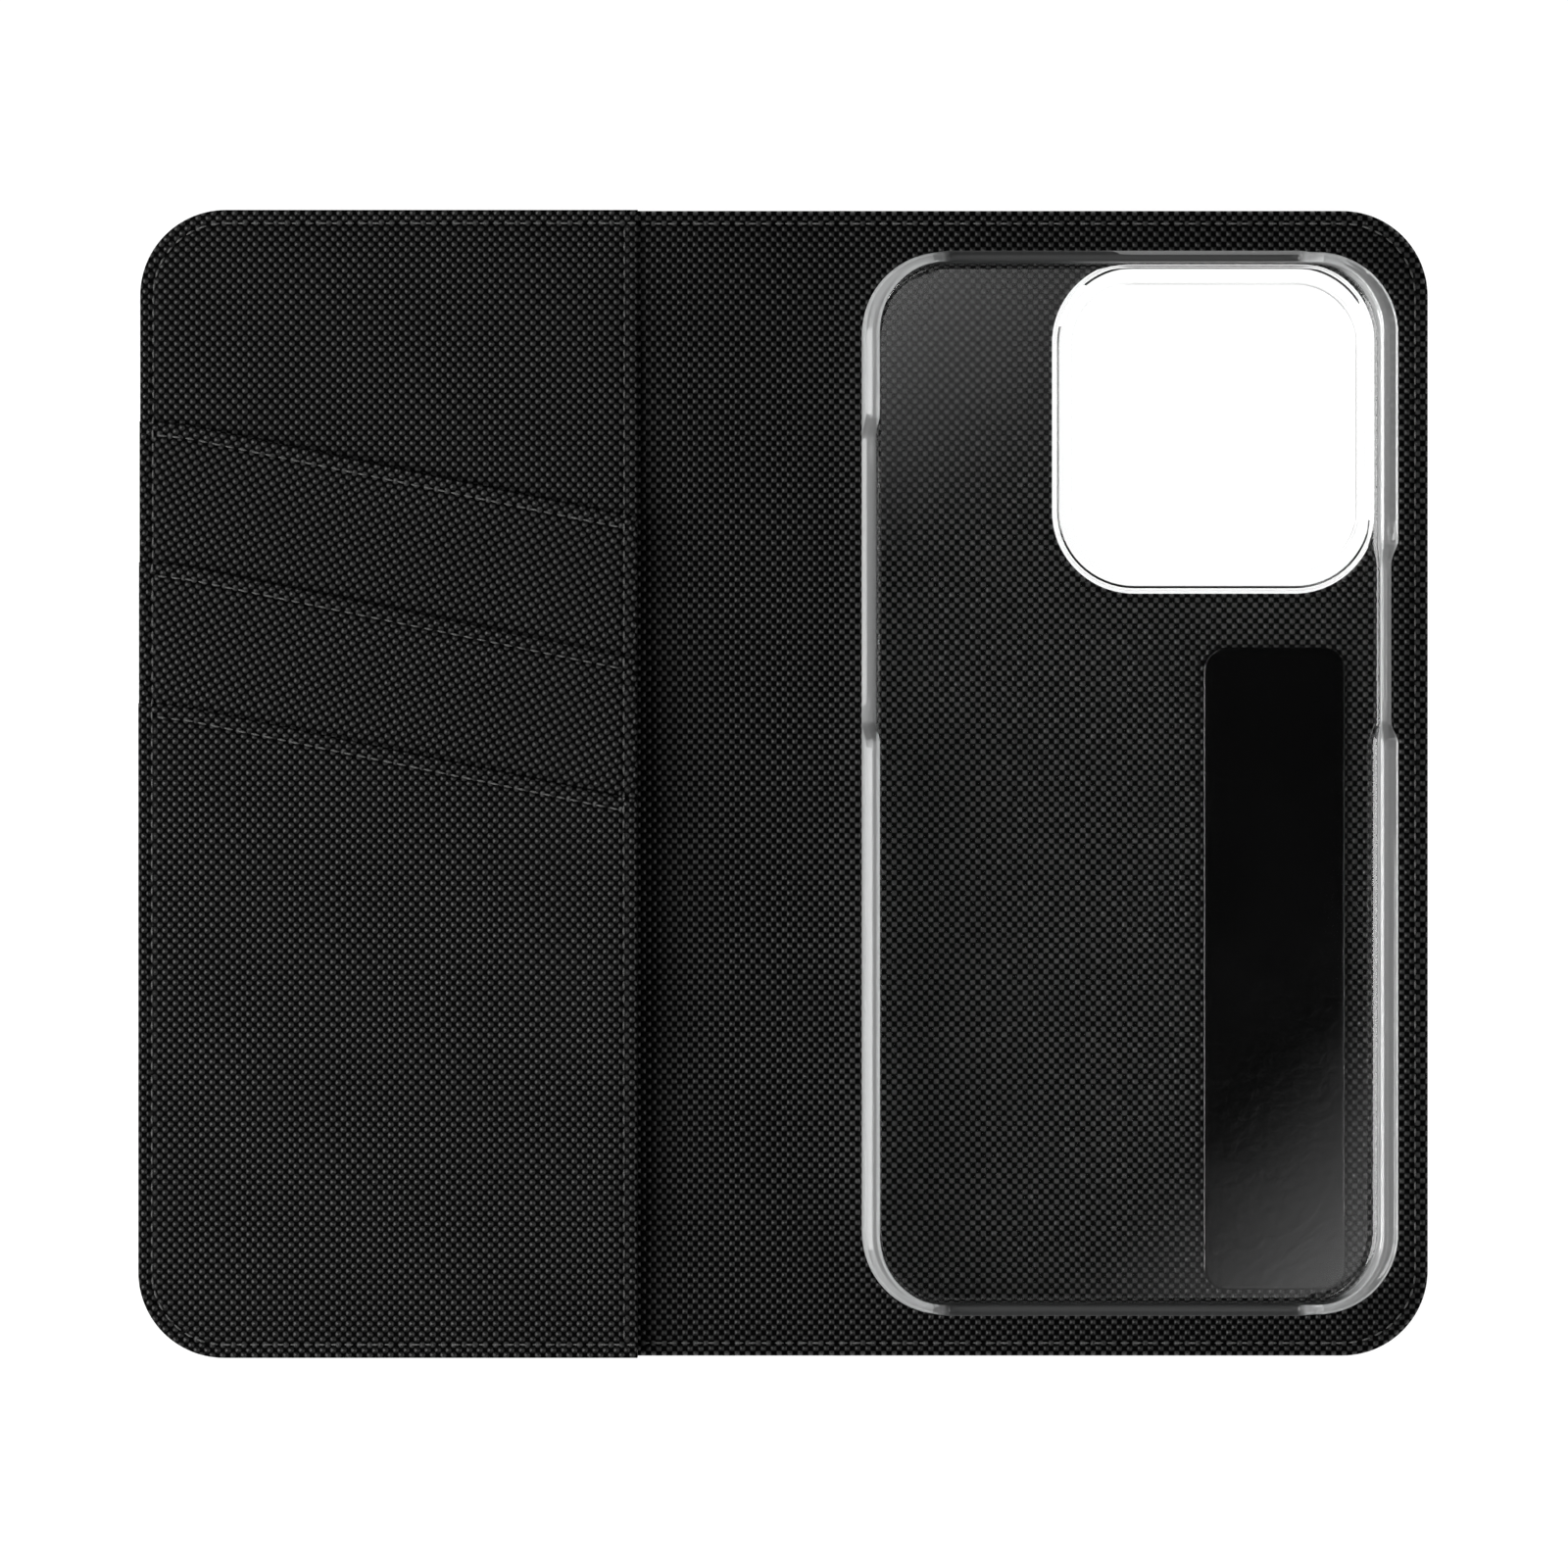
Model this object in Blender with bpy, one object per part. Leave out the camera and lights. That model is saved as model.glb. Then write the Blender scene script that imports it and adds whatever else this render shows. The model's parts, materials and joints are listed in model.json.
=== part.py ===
"""Phone wallet case: a folio cover with a card wallet and a clear phone shell.

The case lies open with its inner side up. X runs across the opened cover with the
middle of the spine at x = 0, Y runs along the spine, Z is up, and the outer skin
lies on z = 0. The back cover is at +X and the front cover, with the card wallet, at -X.

Every sheet is a flat piece at its own height in the stack, with a small gap to the next
sheet. The two folds are hinges at the middle of the cover's thickness: the back cover
carries the spine, and the spine carries the front cover.
"""

import math

import bmesh
import bpy

MM = 0.001

# The phone that the case is made for.
PHONE_WIDTH = 71.5 * MM
PHONE_LENGTH = 147.5 * MM
PHONE_DEPTH = 7.85 * MM
PHONE_FIT = 0.3 * MM

# The clear shell.
SHELL_BASE = 1.2 * MM
SHELL_SIDE_WALL = 1.95 * MM
SHELL_END_WALL = 1.0 * MM
SHELL_CORNER = 11.5 * MM
SHELL_LIP_RISE = 0.5 * MM  # how far the rim stands above the phone's face
SHELL_LIP_REACH = 0.45 * MM  # how far the lip reaches inward past the wall
LOW_WALL = 2.2 * MM  # the wall's height above the base in a notch
CORNER_SEGMENTS = 10

# Notches in the shell's walls, from its camera end or from its sides, and their slopes.
VOLUME_NOTCH_START = 26.15 * MM
VOLUME_NOTCH_LENGTH = 40.0 * MM
POWER_NOTCH_START = 43.95 * MM
POWER_NOTCH_LENGTH = 22.2 * MM
END_NOTCH_LEFT = 12.6 * MM
END_NOTCH_RIGHT = 13.9 * MM
NOTCH_SLOPE = 3.2 * MM

# The camera opening in the shell, and the collar around it that fills the cover's hole.
CAMERA_WIDTH = 40.9 * MM
CAMERA_LENGTH = 41.3 * MM
CAMERA_CORNER = 8.8 * MM
CAMERA_FROM_SIDE = 5.4 * MM
CAMERA_FROM_END = 3.55 * MM
COLLAR_SIDE_WALL = 2.45 * MM
COLLAR_END_WALL = 2.85 * MM
COLLAR_FIT = 0.3 * MM
COLLAR_RECESS = 0.5 * MM  # from the collar's lower edge to the cover's outer face

# The adhesive pad, from the shell's free side and far end, and from the camera hole.
PAD_WIDTH = 20.2 * MM
PAD_FROM_SIDE = 7.3 * MM
PAD_FROM_END = 2.85 * MM
PAD_FROM_CAMERA = 7.65 * MM
PAD_CORNER = 3.2 * MM
PAD_THICKNESS = 0.4 * MM

# The cover's sheets.
SKIN_THICKNESS = 0.6 * MM
BOARD_THICKNESS = 0.7 * MM
LINING_THICKNESS = 0.5 * MM
SHEET_GAP = 0.3 * MM
PAD_GAP = 0.2 * MM
COVER_CORNER = 12.2 * MM
BOARD_INSET = 1.5 * MM
LINING_INSET = 0.3 * MM
BOARD_FROM_FOLD = 3.0 * MM
SPINE_SKIN_FROM_FOLD = 0.3 * MM
FOLD_CLEARANCE = 0.3 * MM

# The borders of the cover around the shell.
FOLD_TO_SHELL = 3.2 * MM
FREE_BORDER = 4.7 * MM
END_BORDER = 6.75 * MM
CLOSING_CLEARANCE = 0.3 * MM

# The card wallet on the front cover.
WALLET_THICKNESS = 0.4 * MM
POCKET_THICKNESS = 0.4 * MM
POCKET_GAP = 0.2 * MM
WALLET_FROM_FOLD = 12.9 * MM
FIRST_MOUTH = 30.2 * MM  # from the cover's top, at the free edge
MOUTH_PITCH = 20.1 * MM
POCKET_DROP = 13.7 * MM  # each mouth falls this much towards the spine
POCKET_NAMES = ("card_pocket_upper", "card_pocket_middle", "card_pocket_lower")

# The threads.
THREAD_RADIUS = 0.25 * MM
THREAD_GAP = 0.1 * MM
STITCH_INSET = 1.9 * MM
HEM_INSET = 2.0 * MM
THREAD_FROM_FOLD = 2.8 * MM
THREAD_STEP = 0.3 * MM
THREAD_SPACE = 0.9 * MM  # between the ends of one seam and the next seam

# What follows from the sizes above.
SHELL_WIDTH = PHONE_WIDTH + 2 * (PHONE_FIT + SHELL_SIDE_WALL)
SHELL_LENGTH = PHONE_LENGTH + 2 * (PHONE_FIT + SHELL_END_WALL)
SHELL_HEIGHT = SHELL_BASE + PHONE_DEPTH + SHELL_LIP_RISE
SHELL_LIP_DEPTH = SHELL_LIP_RISE + 1.5 * MM

BOARD_Z = SKIN_THICKNESS + SHEET_GAP
LINING_Z = BOARD_Z + BOARD_THICKNESS + SHEET_GAP
COVER_TOP = LINING_Z + LINING_THICKNESS
AXIS_Z = COVER_TOP / 2
PANEL_FROM_FOLD = AXIS_Z + FOLD_CLEARANCE

PAD_Z = COVER_TOP + PAD_GAP
SHELL_Z = PAD_Z + PAD_THICKNESS + PAD_GAP
WALLET_Z = COVER_TOP + POCKET_GAP
POCKET_PITCH = POCKET_THICKNESS + POCKET_GAP
WALLET_TOP = WALLET_Z + WALLET_THICKNESS
FRONT_TOP = WALLET_TOP + len(POCKET_NAMES) * POCKET_PITCH
THREAD_HEIGHT = THREAD_GAP + 2 * THREAD_RADIUS

# Closed, the wallet lies over the shell's rim, so the spine spans both stacks.
SPINE_WIDTH = (FRONT_TOP + THREAD_HEIGHT - AXIS_Z) + (SHELL_Z + SHELL_HEIGHT - AXIS_Z) + CLOSING_CLEARANCE
FOLD_X = SPINE_WIDTH / 2
PANEL_WIDTH = FOLD_TO_SHELL + SHELL_WIDTH + FREE_BORDER
COVER_HALF_WIDTH = FOLD_X + PANEL_WIDTH
COVER_HALF_HEIGHT = SHELL_LENGTH / 2 + END_BORDER
SHELL_X = FOLD_X + FOLD_TO_SHELL + SHELL_WIDTH / 2
WALLET_EDGE_X = -FOLD_X - WALLET_FROM_FOLD

CAMERA_X = SHELL_X + SHELL_WIDTH / 2 - CAMERA_FROM_SIDE - CAMERA_WIDTH / 2
CAMERA_Y = SHELL_LENGTH / 2 - CAMERA_FROM_END - CAMERA_LENGTH / 2
COLLAR_WIDTH = CAMERA_WIDTH + 2 * COLLAR_SIDE_WALL
COLLAR_LENGTH = CAMERA_LENGTH + 2 * COLLAR_END_WALL
COLLAR_CORNER = CAMERA_CORNER + (COLLAR_SIDE_WALL + COLLAR_END_WALL) / 2
PAD_TOP = CAMERA_Y - COLLAR_LENGTH / 2 - COLLAR_FIT - PAD_FROM_CAMERA
PAD_BOTTOM = -SHELL_LENGTH / 2 + PAD_FROM_END
PAD_X = SHELL_X + SHELL_WIDTH / 2 - PAD_FROM_SIDE - PAD_WIDTH / 2

VOLUME_NOTCH_END = SHELL_LENGTH / 2 - VOLUME_NOTCH_START
POWER_NOTCH_END = SHELL_LENGTH / 2 - POWER_NOTCH_START
NOTCHES = {
    "left": (VOLUME_NOTCH_END - VOLUME_NOTCH_LENGTH, VOLUME_NOTCH_END),
    "right": (POWER_NOTCH_END - POWER_NOTCH_LENGTH, POWER_NOTCH_END),
    "top": (END_NOTCH_LEFT - SHELL_WIDTH / 2, SHELL_WIDTH / 2 - END_NOTCH_RIGHT),
    "bottom": (END_NOTCH_LEFT - SHELL_WIDTH / 2, SHELL_WIDTH / 2 - END_NOTCH_RIGHT),
}


def clear_scene():
    """Remove every object that the scene starts with."""
    for obj in list(bpy.data.objects):
        bpy.data.objects.remove(obj, do_unlink=True)


def make_collection(name):
    collection = bpy.data.collections.new(name)
    bpy.context.scene.collection.children.link(collection)
    return collection


def make_material(name, color, roughness, metallic=0.0, transmission=0.0):
    material = bpy.data.materials.new(name)
    material.use_nodes = True
    shader = material.node_tree.nodes["Principled BSDF"]
    shader.inputs["Base Color"].default_value = (*color, 1.0)
    shader.inputs["Roughness"].default_value = roughness
    shader.inputs["Metallic"].default_value = metallic
    shader.inputs["Transmission Weight"].default_value = transmission
    return material


def arc(cx, cy, rx, ry, start, end, segments=CORNER_SEGMENTS):
    """Points along a quarter of an ellipse, from one angle to another in degrees."""
    angles = [math.radians(start + (end - start) * i / segments) for i in range(segments + 1)]
    return [(cx + rx * math.cos(a), cy + ry * math.sin(a)) for a in angles]


def rounded_rectangle(cx, cy, width, height, radius):
    """The outline of a rectangle with four round corners, counter-clockwise."""
    x, y = width / 2 - radius, height / 2 - radius
    return (
        arc(cx + x, cy + y, radius, radius, 0, 90)
        + arc(cx - x, cy + y, radius, radius, 90, 180)
        + arc(cx - x, cy - y, radius, radius, 180, 270)
        + arc(cx + x, cy - y, radius, radius, 270, 360)
    )


def cover_panel(side, fold_distance, inset):
    """The outline of one cover: square at the fold and round at its two free corners."""
    inner = FOLD_X + fold_distance
    outer = COVER_HALF_WIDTH - inset
    top = COVER_HALF_HEIGHT - inset
    radius = COVER_CORNER - inset
    points = [(inner, top), (inner, -top)]
    points += arc(outer - radius, -top + radius, radius, radius, 270, 360)
    points += arc(outer - radius, top - radius, radius, radius, 0, 90)
    return [(side * x, y) for x, y in points]


def spine_panel(fold_distance, inset):
    """The outline of a spine sheet between the two folds."""
    x, y = FOLD_X - fold_distance, COVER_HALF_HEIGHT - inset
    return [(-x, -y), (x, -y), (x, y), (-x, y)]


def around_collar(margin):
    """The outline of the camera collar, grown by a margin all round."""
    width, length = COLLAR_WIDTH + 2 * margin, COLLAR_LENGTH + 2 * margin
    return rounded_rectangle(CAMERA_X, CAMERA_Y, width, length, COLLAR_CORNER + margin)


def mouth_points(index):
    """A card pocket's mouth from the free edge to the wallet's edge at the spine side."""
    left = -COVER_HALF_WIDTH
    top = COVER_HALF_HEIGHT - FIRST_MOUTH - index * MOUTH_PITCH
    low = top - POCKET_DROP
    span = WALLET_EDGE_X - left
    return [(left, top), (left + 0.1 * span, top - 0.04 * POCKET_DROP), (WALLET_EDGE_X, low)]


def mouth_y(index, x):
    """The height up the page of a pocket's mouth at x."""
    points = mouth_points(index)
    for (x0, y0), (x1, y1) in zip(points, points[1:]):
        if x <= x1:
            return y0 + (y1 - y0) * (x - x0) / (x1 - x0)
    return points[-1][1]


def wallet_outline(upper_edge=None):
    """The wallet panel's outline, or a pocket's with the pocket's mouth as its upper edge."""
    left, bottom, r = -COVER_HALF_WIDTH, -COVER_HALF_HEIGHT, COVER_CORNER
    points = arc(left + r, bottom + r, r, r, 180, 270) + [(WALLET_EDGE_X, bottom)]
    if upper_edge is None:
        return points + [(WALLET_EDGE_X, -bottom)] + arc(left + r, -bottom - r, r, r, 90, 180)
    return points + list(reversed(upper_edge))


def to_mesh(curve_object, collection):
    """Replace a curve object with a mesh object whose caps are welded on."""
    depsgraph = bpy.context.evaluated_depsgraph_get()
    mesh = bpy.data.meshes.new_from_object(curve_object.evaluated_get(depsgraph))
    work = bmesh.new()
    work.from_mesh(mesh)
    bmesh.ops.remove_doubles(work, verts=work.verts, dist=1e-6)
    bmesh.ops.recalc_face_normals(work, faces=work.faces)
    work.to_mesh(mesh)
    work.free()
    name, matrix = curve_object.name, curve_object.matrix_world.copy()
    material = curve_object.data.materials[0] if curve_object.data.materials else None
    curve = curve_object.data
    bpy.data.objects.remove(curve_object)
    bpy.data.curves.remove(curve)
    obj = bpy.data.objects.new(name, mesh)
    obj.matrix_world = matrix
    mesh.materials.clear()
    if material:
        mesh.materials.append(material)
    collection.objects.link(obj)
    return obj


def flat_piece(name, outlines, bottom, thickness, material, collection):
    """A flat sheet with one outer outline, and any further outlines as holes in it."""
    curve = bpy.data.curves.new(name, "CURVE")
    curve.dimensions = "2D"
    curve.fill_mode = "BOTH"
    curve.extrude = thickness / 2
    for outline in outlines:
        spline = curve.splines.new("POLY")
        spline.points.add(len(outline) - 1)
        for point, (x, y) in zip(spline.points, outline):
            point.co = (x, y, 0.0, 1.0)
        spline.use_cyclic_u = True
    if material:
        curve.materials.append(material)
    obj = bpy.data.objects.new(name, curve)
    obj.location.z = bottom + thickness / 2
    collection.objects.link(obj)
    bpy.context.view_layer.update()
    return to_mesh(obj, collection)


def thread(name, points, material, collection):
    """A seam's thread: a thin round tube along its points, with closed ends."""
    curve = bpy.data.curves.new(name, "CURVE")
    curve.dimensions = "3D"
    curve.bevel_depth = THREAD_RADIUS
    curve.bevel_resolution = 1
    curve.use_fill_caps = True
    spline = curve.splines.new("POLY")
    spline.points.add(len(points) - 1)
    for point, place in zip(spline.points, points):
        point.co = (*place, 1.0)
    curve.materials.append(material)
    obj = bpy.data.objects.new(name, curve)
    collection.objects.link(obj)
    bpy.context.view_layer.update()
    return to_mesh(obj, collection)


def front_surface(x, y):
    """The top of the front cover's stack at a place."""
    if x > WALLET_EDGE_X:
        return COVER_TOP
    layers = sum(y < mouth_y(i, x) for i in range(len(POCKET_NAMES)))
    return WALLET_TOP + layers * POCKET_PITCH


def laid_on_front(path):
    """Lift a seam's path onto the front stack, stepping up just before each edge."""
    reach = 2 * THREAD_STEP
    places = []
    for (x0, y0), (x1, y1) in zip(path, path[1:]):
        count = max(1, round(math.dist((x0, y0), (x1, y1)) / THREAD_STEP))
        places += [(x0 + (x1 - x0) * i / count, y0 + (y1 - y0) * i / count) for i in range(count)]
    places.append(path[-1])
    around = [(0, 0), (reach, 0), (-reach, 0), (0, reach), (0, -reach)]
    lift = THREAD_GAP + THREAD_RADIUS
    points = [(x, y, lift + max(front_surface(x + dx, y + dy) for dx, dy in around)) for x, y in places]
    return without_straight(points)


def without_straight(points):
    """The points without those that lie on the line between their neighbours."""
    kept = [points[0]]
    for here, after in zip(points[1:-1], points[2:]):
        before = kept[-1]
        a = [h - b for h, b in zip(here, before)]
        b = [n - h for n, h in zip(after, here)]
        cosine = sum(p * q for p, q in zip(a, b)) / (math.hypot(*a) * math.hypot(*b))
        if cosine < 1 - 1e-7:
            kept.append(here)
    return kept + [points[-1]]


def perimeter_path(side):
    """A seam's path round one cover's three free sides, from fold to fold."""
    start = FOLD_X + THREAD_FROM_FOLD
    x, y = COVER_HALF_WIDTH - STITCH_INSET, COVER_HALF_HEIGHT - STITCH_INSET
    r = COVER_CORNER - STITCH_INSET
    path = [(start, -y)] + arc(x - r, -y + r, r, r, 270, 360) + arc(x - r, y - r, r, r, 0, 90) + [(start, y)]
    return [(side * px, py) for px, py in path]


def shell_wall_height(side, along):
    """How much of the shell's full wall stands at a place: 1 is full, 0 is a notch's floor."""
    low, high = NOTCHES[side]
    outside = max(low - along, along - high, 0.0)
    t = min(outside / NOTCH_SLOPE, 1.0)
    return t * t * (3 - 2 * t)


def side_places(side, limit):
    """Places along a straight wall: the notch's two ends, and steps down its slopes."""
    low, high = NOTCHES[side]
    steps = 5
    places = [low - NOTCH_SLOPE * i / steps for i in range(steps, -1, -1)]
    places += [high + NOTCH_SLOPE * i / steps for i in range(steps + 1)]
    return [p for p in places if abs(p) < limit - 0.5 * MM]


def shell_stations():
    """Where the shell's cross-section is taken, counter-clockwise from the right wall.

    Each station is the corner centre or wall point that it belongs to, the direction out
    of the shell, and how much of the wall stands there.
    """
    hx, hy = SHELL_WIDTH / 2 - SHELL_CORNER, SHELL_LENGTH / 2 - SHELL_CORNER
    right = [((hx, p), (1, 0), shell_wall_height("right", p)) for p in side_places("right", hy)]
    top = [((p, hy), (0, 1), shell_wall_height("top", p)) for p in reversed(side_places("top", hx))]
    left = [((-hx, p), (-1, 0), shell_wall_height("left", p)) for p in reversed(side_places("left", hy))]
    bottom = [((p, -hy), (0, -1), shell_wall_height("bottom", p)) for p in side_places("bottom", hx)]
    stations = []
    runs = [(right, "right", "top", hx, hy), (top, "left", "top", -hx, hy)]
    runs += [(left, "left", "bottom", -hx, -hy), (bottom, "right", "bottom", hx, -hy)]
    for quarter, (run, side, end, cx, cy) in enumerate(runs):
        stations += run
        for x, y in arc(0, 0, 1, 1, 90 * quarter, 90 * quarter + 90):
            on_side = shell_wall_height(side, cy + y * SHELL_CORNER)
            on_end = shell_wall_height(end, cx + x * SHELL_CORNER)
            stations.append(((cx, cy), (x, y), min(on_side, on_end)))
    return stations


def shell_profile():
    """The wall's cross-section as rings: inset in wall thicknesses, height, and lip reach.

    The rings run from the shell's underside, up the outside, over the rim and down the
    inside to the floor. A height is given from the base or from the rim.
    """
    wall = SHELL_HEIGHT - SHELL_BASE
    return [
        (0.85, -SHELL_BASE, 0.0, 0.0),
        (0.25, -0.7 * SHELL_BASE, 0.0, 0.0),
        (0.0, 0.0, 0.0, 0.0),
        (0.0, wall - SHELL_LIP_DEPTH, 1.0, 0.0),
        (0.15, wall - 0.4 * SHELL_LIP_DEPTH, 1.0, 0.0),
        (0.45, wall - 0.08 * SHELL_LIP_DEPTH, 1.0, 0.0),
        (0.75, wall, 1.0, 0.3),
        (0.95, wall - 0.1 * SHELL_LIP_DEPTH, 1.0, 0.8),
        (1.0, wall - 0.3 * SHELL_LIP_DEPTH, 1.0, 1.0),
        (1.0, wall - SHELL_LIP_DEPTH, 1.0, 0.0),
        (1.0, 0.35 * LOW_WALL, 0.0, 0.0),
        (1.0 + 0.3, 0.0, 0.0, 0.0),
    ]


def shell_tray(material, collection):
    """The shell's floor and walls, lofted from the wall's section at every station."""
    wall = SHELL_HEIGHT - SHELL_BASE
    mesh = bpy.data.meshes.new("clear_shell")
    work = bmesh.new()
    rings = []
    for inset, height, rises, lip in shell_profile():
        ring = []
        for (cx, cy), (ox, oy), full in shell_stations():
            stands = LOW_WALL + (wall - LOW_WALL) * full
            z = height - (wall - stands) * rises
            z = max(z, 0.5 * LOW_WALL) if rises else z
            in_x = inset * SHELL_SIDE_WALL + lip * full * SHELL_LIP_REACH
            in_y = inset * SHELL_END_WALL + lip * full * SHELL_LIP_REACH
            x = cx + ox * (SHELL_CORNER - in_x)
            y = cy + oy * (SHELL_CORNER - in_y)
            ring.append(work.verts.new((SHELL_X + x, y, SHELL_Z + SHELL_BASE + z)))
        rings.append(ring)
    for lower, upper in zip(rings, rings[1:]):
        for i in range(len(lower)):
            j = (i + 1) % len(lower)
            work.faces.new((lower[i], lower[j], upper[j], upper[i]))
    work.faces.new(list(reversed(rings[0])))
    work.faces.new(rings[-1])
    bmesh.ops.recalc_face_normals(work, faces=work.faces)
    work.to_mesh(mesh)
    work.free()
    obj = bpy.data.objects.new("clear_shell", mesh)
    mesh.materials.append(material)
    collection.objects.link(obj)
    return obj


def add_boolean(obj, tool, operation):
    modifier = obj.modifiers.new(tool.name, "BOOLEAN")
    modifier.operation = operation
    modifier.object = tool
    tool.hide_render = True
    tool.display_type = "WIRE"


def build_shell(material, collection, cutters):
    """The clear tray with its camera collar, which hangs through the cover's camera hole."""
    shell = shell_tray(material, collection)
    collar_height = SHELL_Z + SHELL_BASE / 2 - COLLAR_RECESS
    collar = flat_piece("camera_collar", [around_collar(0.0)], COLLAR_RECESS, collar_height, None, cutters)
    opening = flat_piece(
        "camera_opening",
        [rounded_rectangle(CAMERA_X, CAMERA_Y, CAMERA_WIDTH, CAMERA_LENGTH, CAMERA_CORNER)],
        COLLAR_RECESS - MM,
        SHELL_Z + SHELL_BASE + 2 * MM,
        None,
        cutters,
    )
    add_boolean(shell, collar, "UNION")
    add_boolean(shell, opening, "DIFFERENCE")
    return shell


def build_back(finishes, collection, cutters):
    """The back cover with its camera hole, the pad, the clear shell and the seam."""
    hole = around_collar(COLLAR_FIT)
    skin = cover_panel(1, PANEL_FROM_FOLD, 0.0)
    board = cover_panel(1, BOARD_FROM_FOLD, BOARD_INSET)
    lining = cover_panel(1, PANEL_FROM_FOLD, LINING_INSET)
    board_hole = around_collar(COLLAR_FIT + BOARD_INSET / 2)
    pad = rounded_rectangle(PAD_X, (PAD_TOP + PAD_BOTTOM) / 2, PAD_WIDTH, PAD_TOP - PAD_BOTTOM, PAD_CORNER)
    lift = COVER_TOP + THREAD_GAP + THREAD_RADIUS
    seam = without_straight([(x, y, lift) for x, y in perimeter_path(1)])
    return [
        flat_piece("outer_skin_back", [skin, hole], 0.0, SKIN_THICKNESS, finishes["skin"], collection),
        flat_piece("board_back", [board, board_hole], BOARD_Z, BOARD_THICKNESS, finishes["board"], collection),
        flat_piece("lining_back", [lining, hole], LINING_Z, LINING_THICKNESS, finishes["lining"], collection),
        flat_piece("adhesive_pad", [pad], PAD_Z, PAD_THICKNESS, finishes["pad"], collection),
        build_shell(finishes["clear"], collection, cutters),
        thread("stitch_back", seam, finishes["thread"], collection),
    ]


def build_spine(finishes, collection):
    """The three spine sheets and the seam's two short runs across their ends."""
    skin = spine_panel(SPINE_SKIN_FROM_FOLD, 0.0)
    board = spine_panel(BOARD_FROM_FOLD, BOARD_INSET)
    lining = spine_panel(SPINE_SKIN_FROM_FOLD, LINING_INSET)
    pieces = [
        flat_piece("outer_skin_spine", [skin], 0.0, SKIN_THICKNESS, finishes["skin"], collection),
        flat_piece("board_spine", [board], BOARD_Z, BOARD_THICKNESS, finishes["board"], collection),
        flat_piece("lining_spine", [lining], LINING_Z, LINING_THICKNESS, finishes["lining"], collection),
    ]
    x, y = FOLD_X - THREAD_FROM_FOLD, COVER_HALF_HEIGHT - STITCH_INSET
    z = COVER_TOP + THREAD_GAP + THREAD_RADIUS
    for name, side in (("stitch_spine_top", 1), ("stitch_spine_bottom", -1)):
        run = [(-x, side * y, z), (x, side * y, z)]
        pieces.append(thread(name, run, finishes["thread"], collection))
    return pieces


def build_front(finishes, collection):
    """The front cover, the wallet panel, its three card pockets and their seams."""
    skin = cover_panel(-1, PANEL_FROM_FOLD, 0.0)
    board = cover_panel(-1, BOARD_FROM_FOLD, BOARD_INSET)
    lining = cover_panel(-1, PANEL_FROM_FOLD, LINING_INSET)
    pieces = [
        flat_piece("outer_skin_front", [skin], 0.0, SKIN_THICKNESS, finishes["skin"], collection),
        flat_piece("board_front", [board], BOARD_Z, BOARD_THICKNESS, finishes["board"], collection),
        flat_piece("lining_front", [lining], LINING_Z, LINING_THICKNESS, finishes["lining"], collection),
        flat_piece(
            "wallet_panel", [wallet_outline()], WALLET_Z, WALLET_THICKNESS, finishes["pocket"], collection
        ),
    ]
    hem_x = WALLET_EDGE_X - STITCH_INSET
    left = -COVER_HALF_WIDTH + STITCH_INSET + THREAD_SPACE
    for index, name in enumerate(POCKET_NAMES):
        bottom = WALLET_TOP + POCKET_GAP + index * POCKET_PITCH
        outline = wallet_outline(mouth_points(index))
        pieces.append(flat_piece(name, [outline], bottom, POCKET_THICKNESS, finishes["pocket"], collection))
        right = hem_x - THREAD_SPACE
        places = [left, mouth_points(index)[1][0], right]
        hem = laid_on_front([(x, mouth_y(index, x) - HEM_INSET) for x in places])
        seam = "stitch_" + name.replace("card_", "")
        pieces.append(thread(seam, hem, finishes["thread"], collection))
    top = COVER_HALF_HEIGHT - STITCH_INSET - THREAD_SPACE
    panel_hem = laid_on_front([(hem_x, top), (hem_x, -top)])
    pieces.append(thread("stitch_wallet_panel", panel_hem, finishes["thread"], collection))
    pieces.append(thread("stitch_front", laid_on_front(perimeter_path(-1)), finishes["thread"], collection))
    return pieces


def make_axis(name, x, collection, parent=None):
    """An empty on a fold's axis, which the folding pieces are parented to."""
    empty = bpy.data.objects.new(name, None)
    empty.empty_display_size = 0.02
    collection.objects.link(empty)
    empty.parent = parent
    empty.location = (x, 0, AXIS_Z) if parent is None else (x - parent.location.x, 0, 0)
    bpy.context.view_layer.update()
    return empty


def attach(pieces, axis):
    """Parent pieces to an axis without moving them."""
    for piece in pieces:
        piece.parent = axis
        piece.matrix_parent_inverse = axis.matrix_world.inverted()


def main():
    clear_scene()
    collection = make_collection("phone_wallet_case")
    cutters = make_collection("cutters")
    finishes = {
        "skin": make_material("black_outer_leather", (0.012, 0.012, 0.013), 0.5),
        "lining": make_material("black_lining_leather", (0.012, 0.012, 0.013), 0.5),
        "pocket": make_material("black_pocket_leather", (0.014, 0.014, 0.014), 0.5),
        "board": make_material("grey_board", (0.16, 0.15, 0.14), 0.9),
        "pad": make_material("black_adhesive_foam", (0.006, 0.006, 0.007), 0.35),
        "clear": make_material("clear_plastic", (0.9, 0.92, 0.93), 0.05, transmission=1.0),
        "thread": make_material("black_thread", (0.01, 0.01, 0.01), 0.7),
    }
    build_back(finishes, collection, cutters)
    spine = build_spine(finishes, collection)
    front = build_front(finishes, collection)
    spine_axis = make_axis("spine_fold_axis", FOLD_X, collection)
    cover_axis = make_axis("cover_fold_axis", -FOLD_X, collection, spine_axis)
    attach(spine, spine_axis)
    attach(front, cover_axis)


main()
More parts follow.
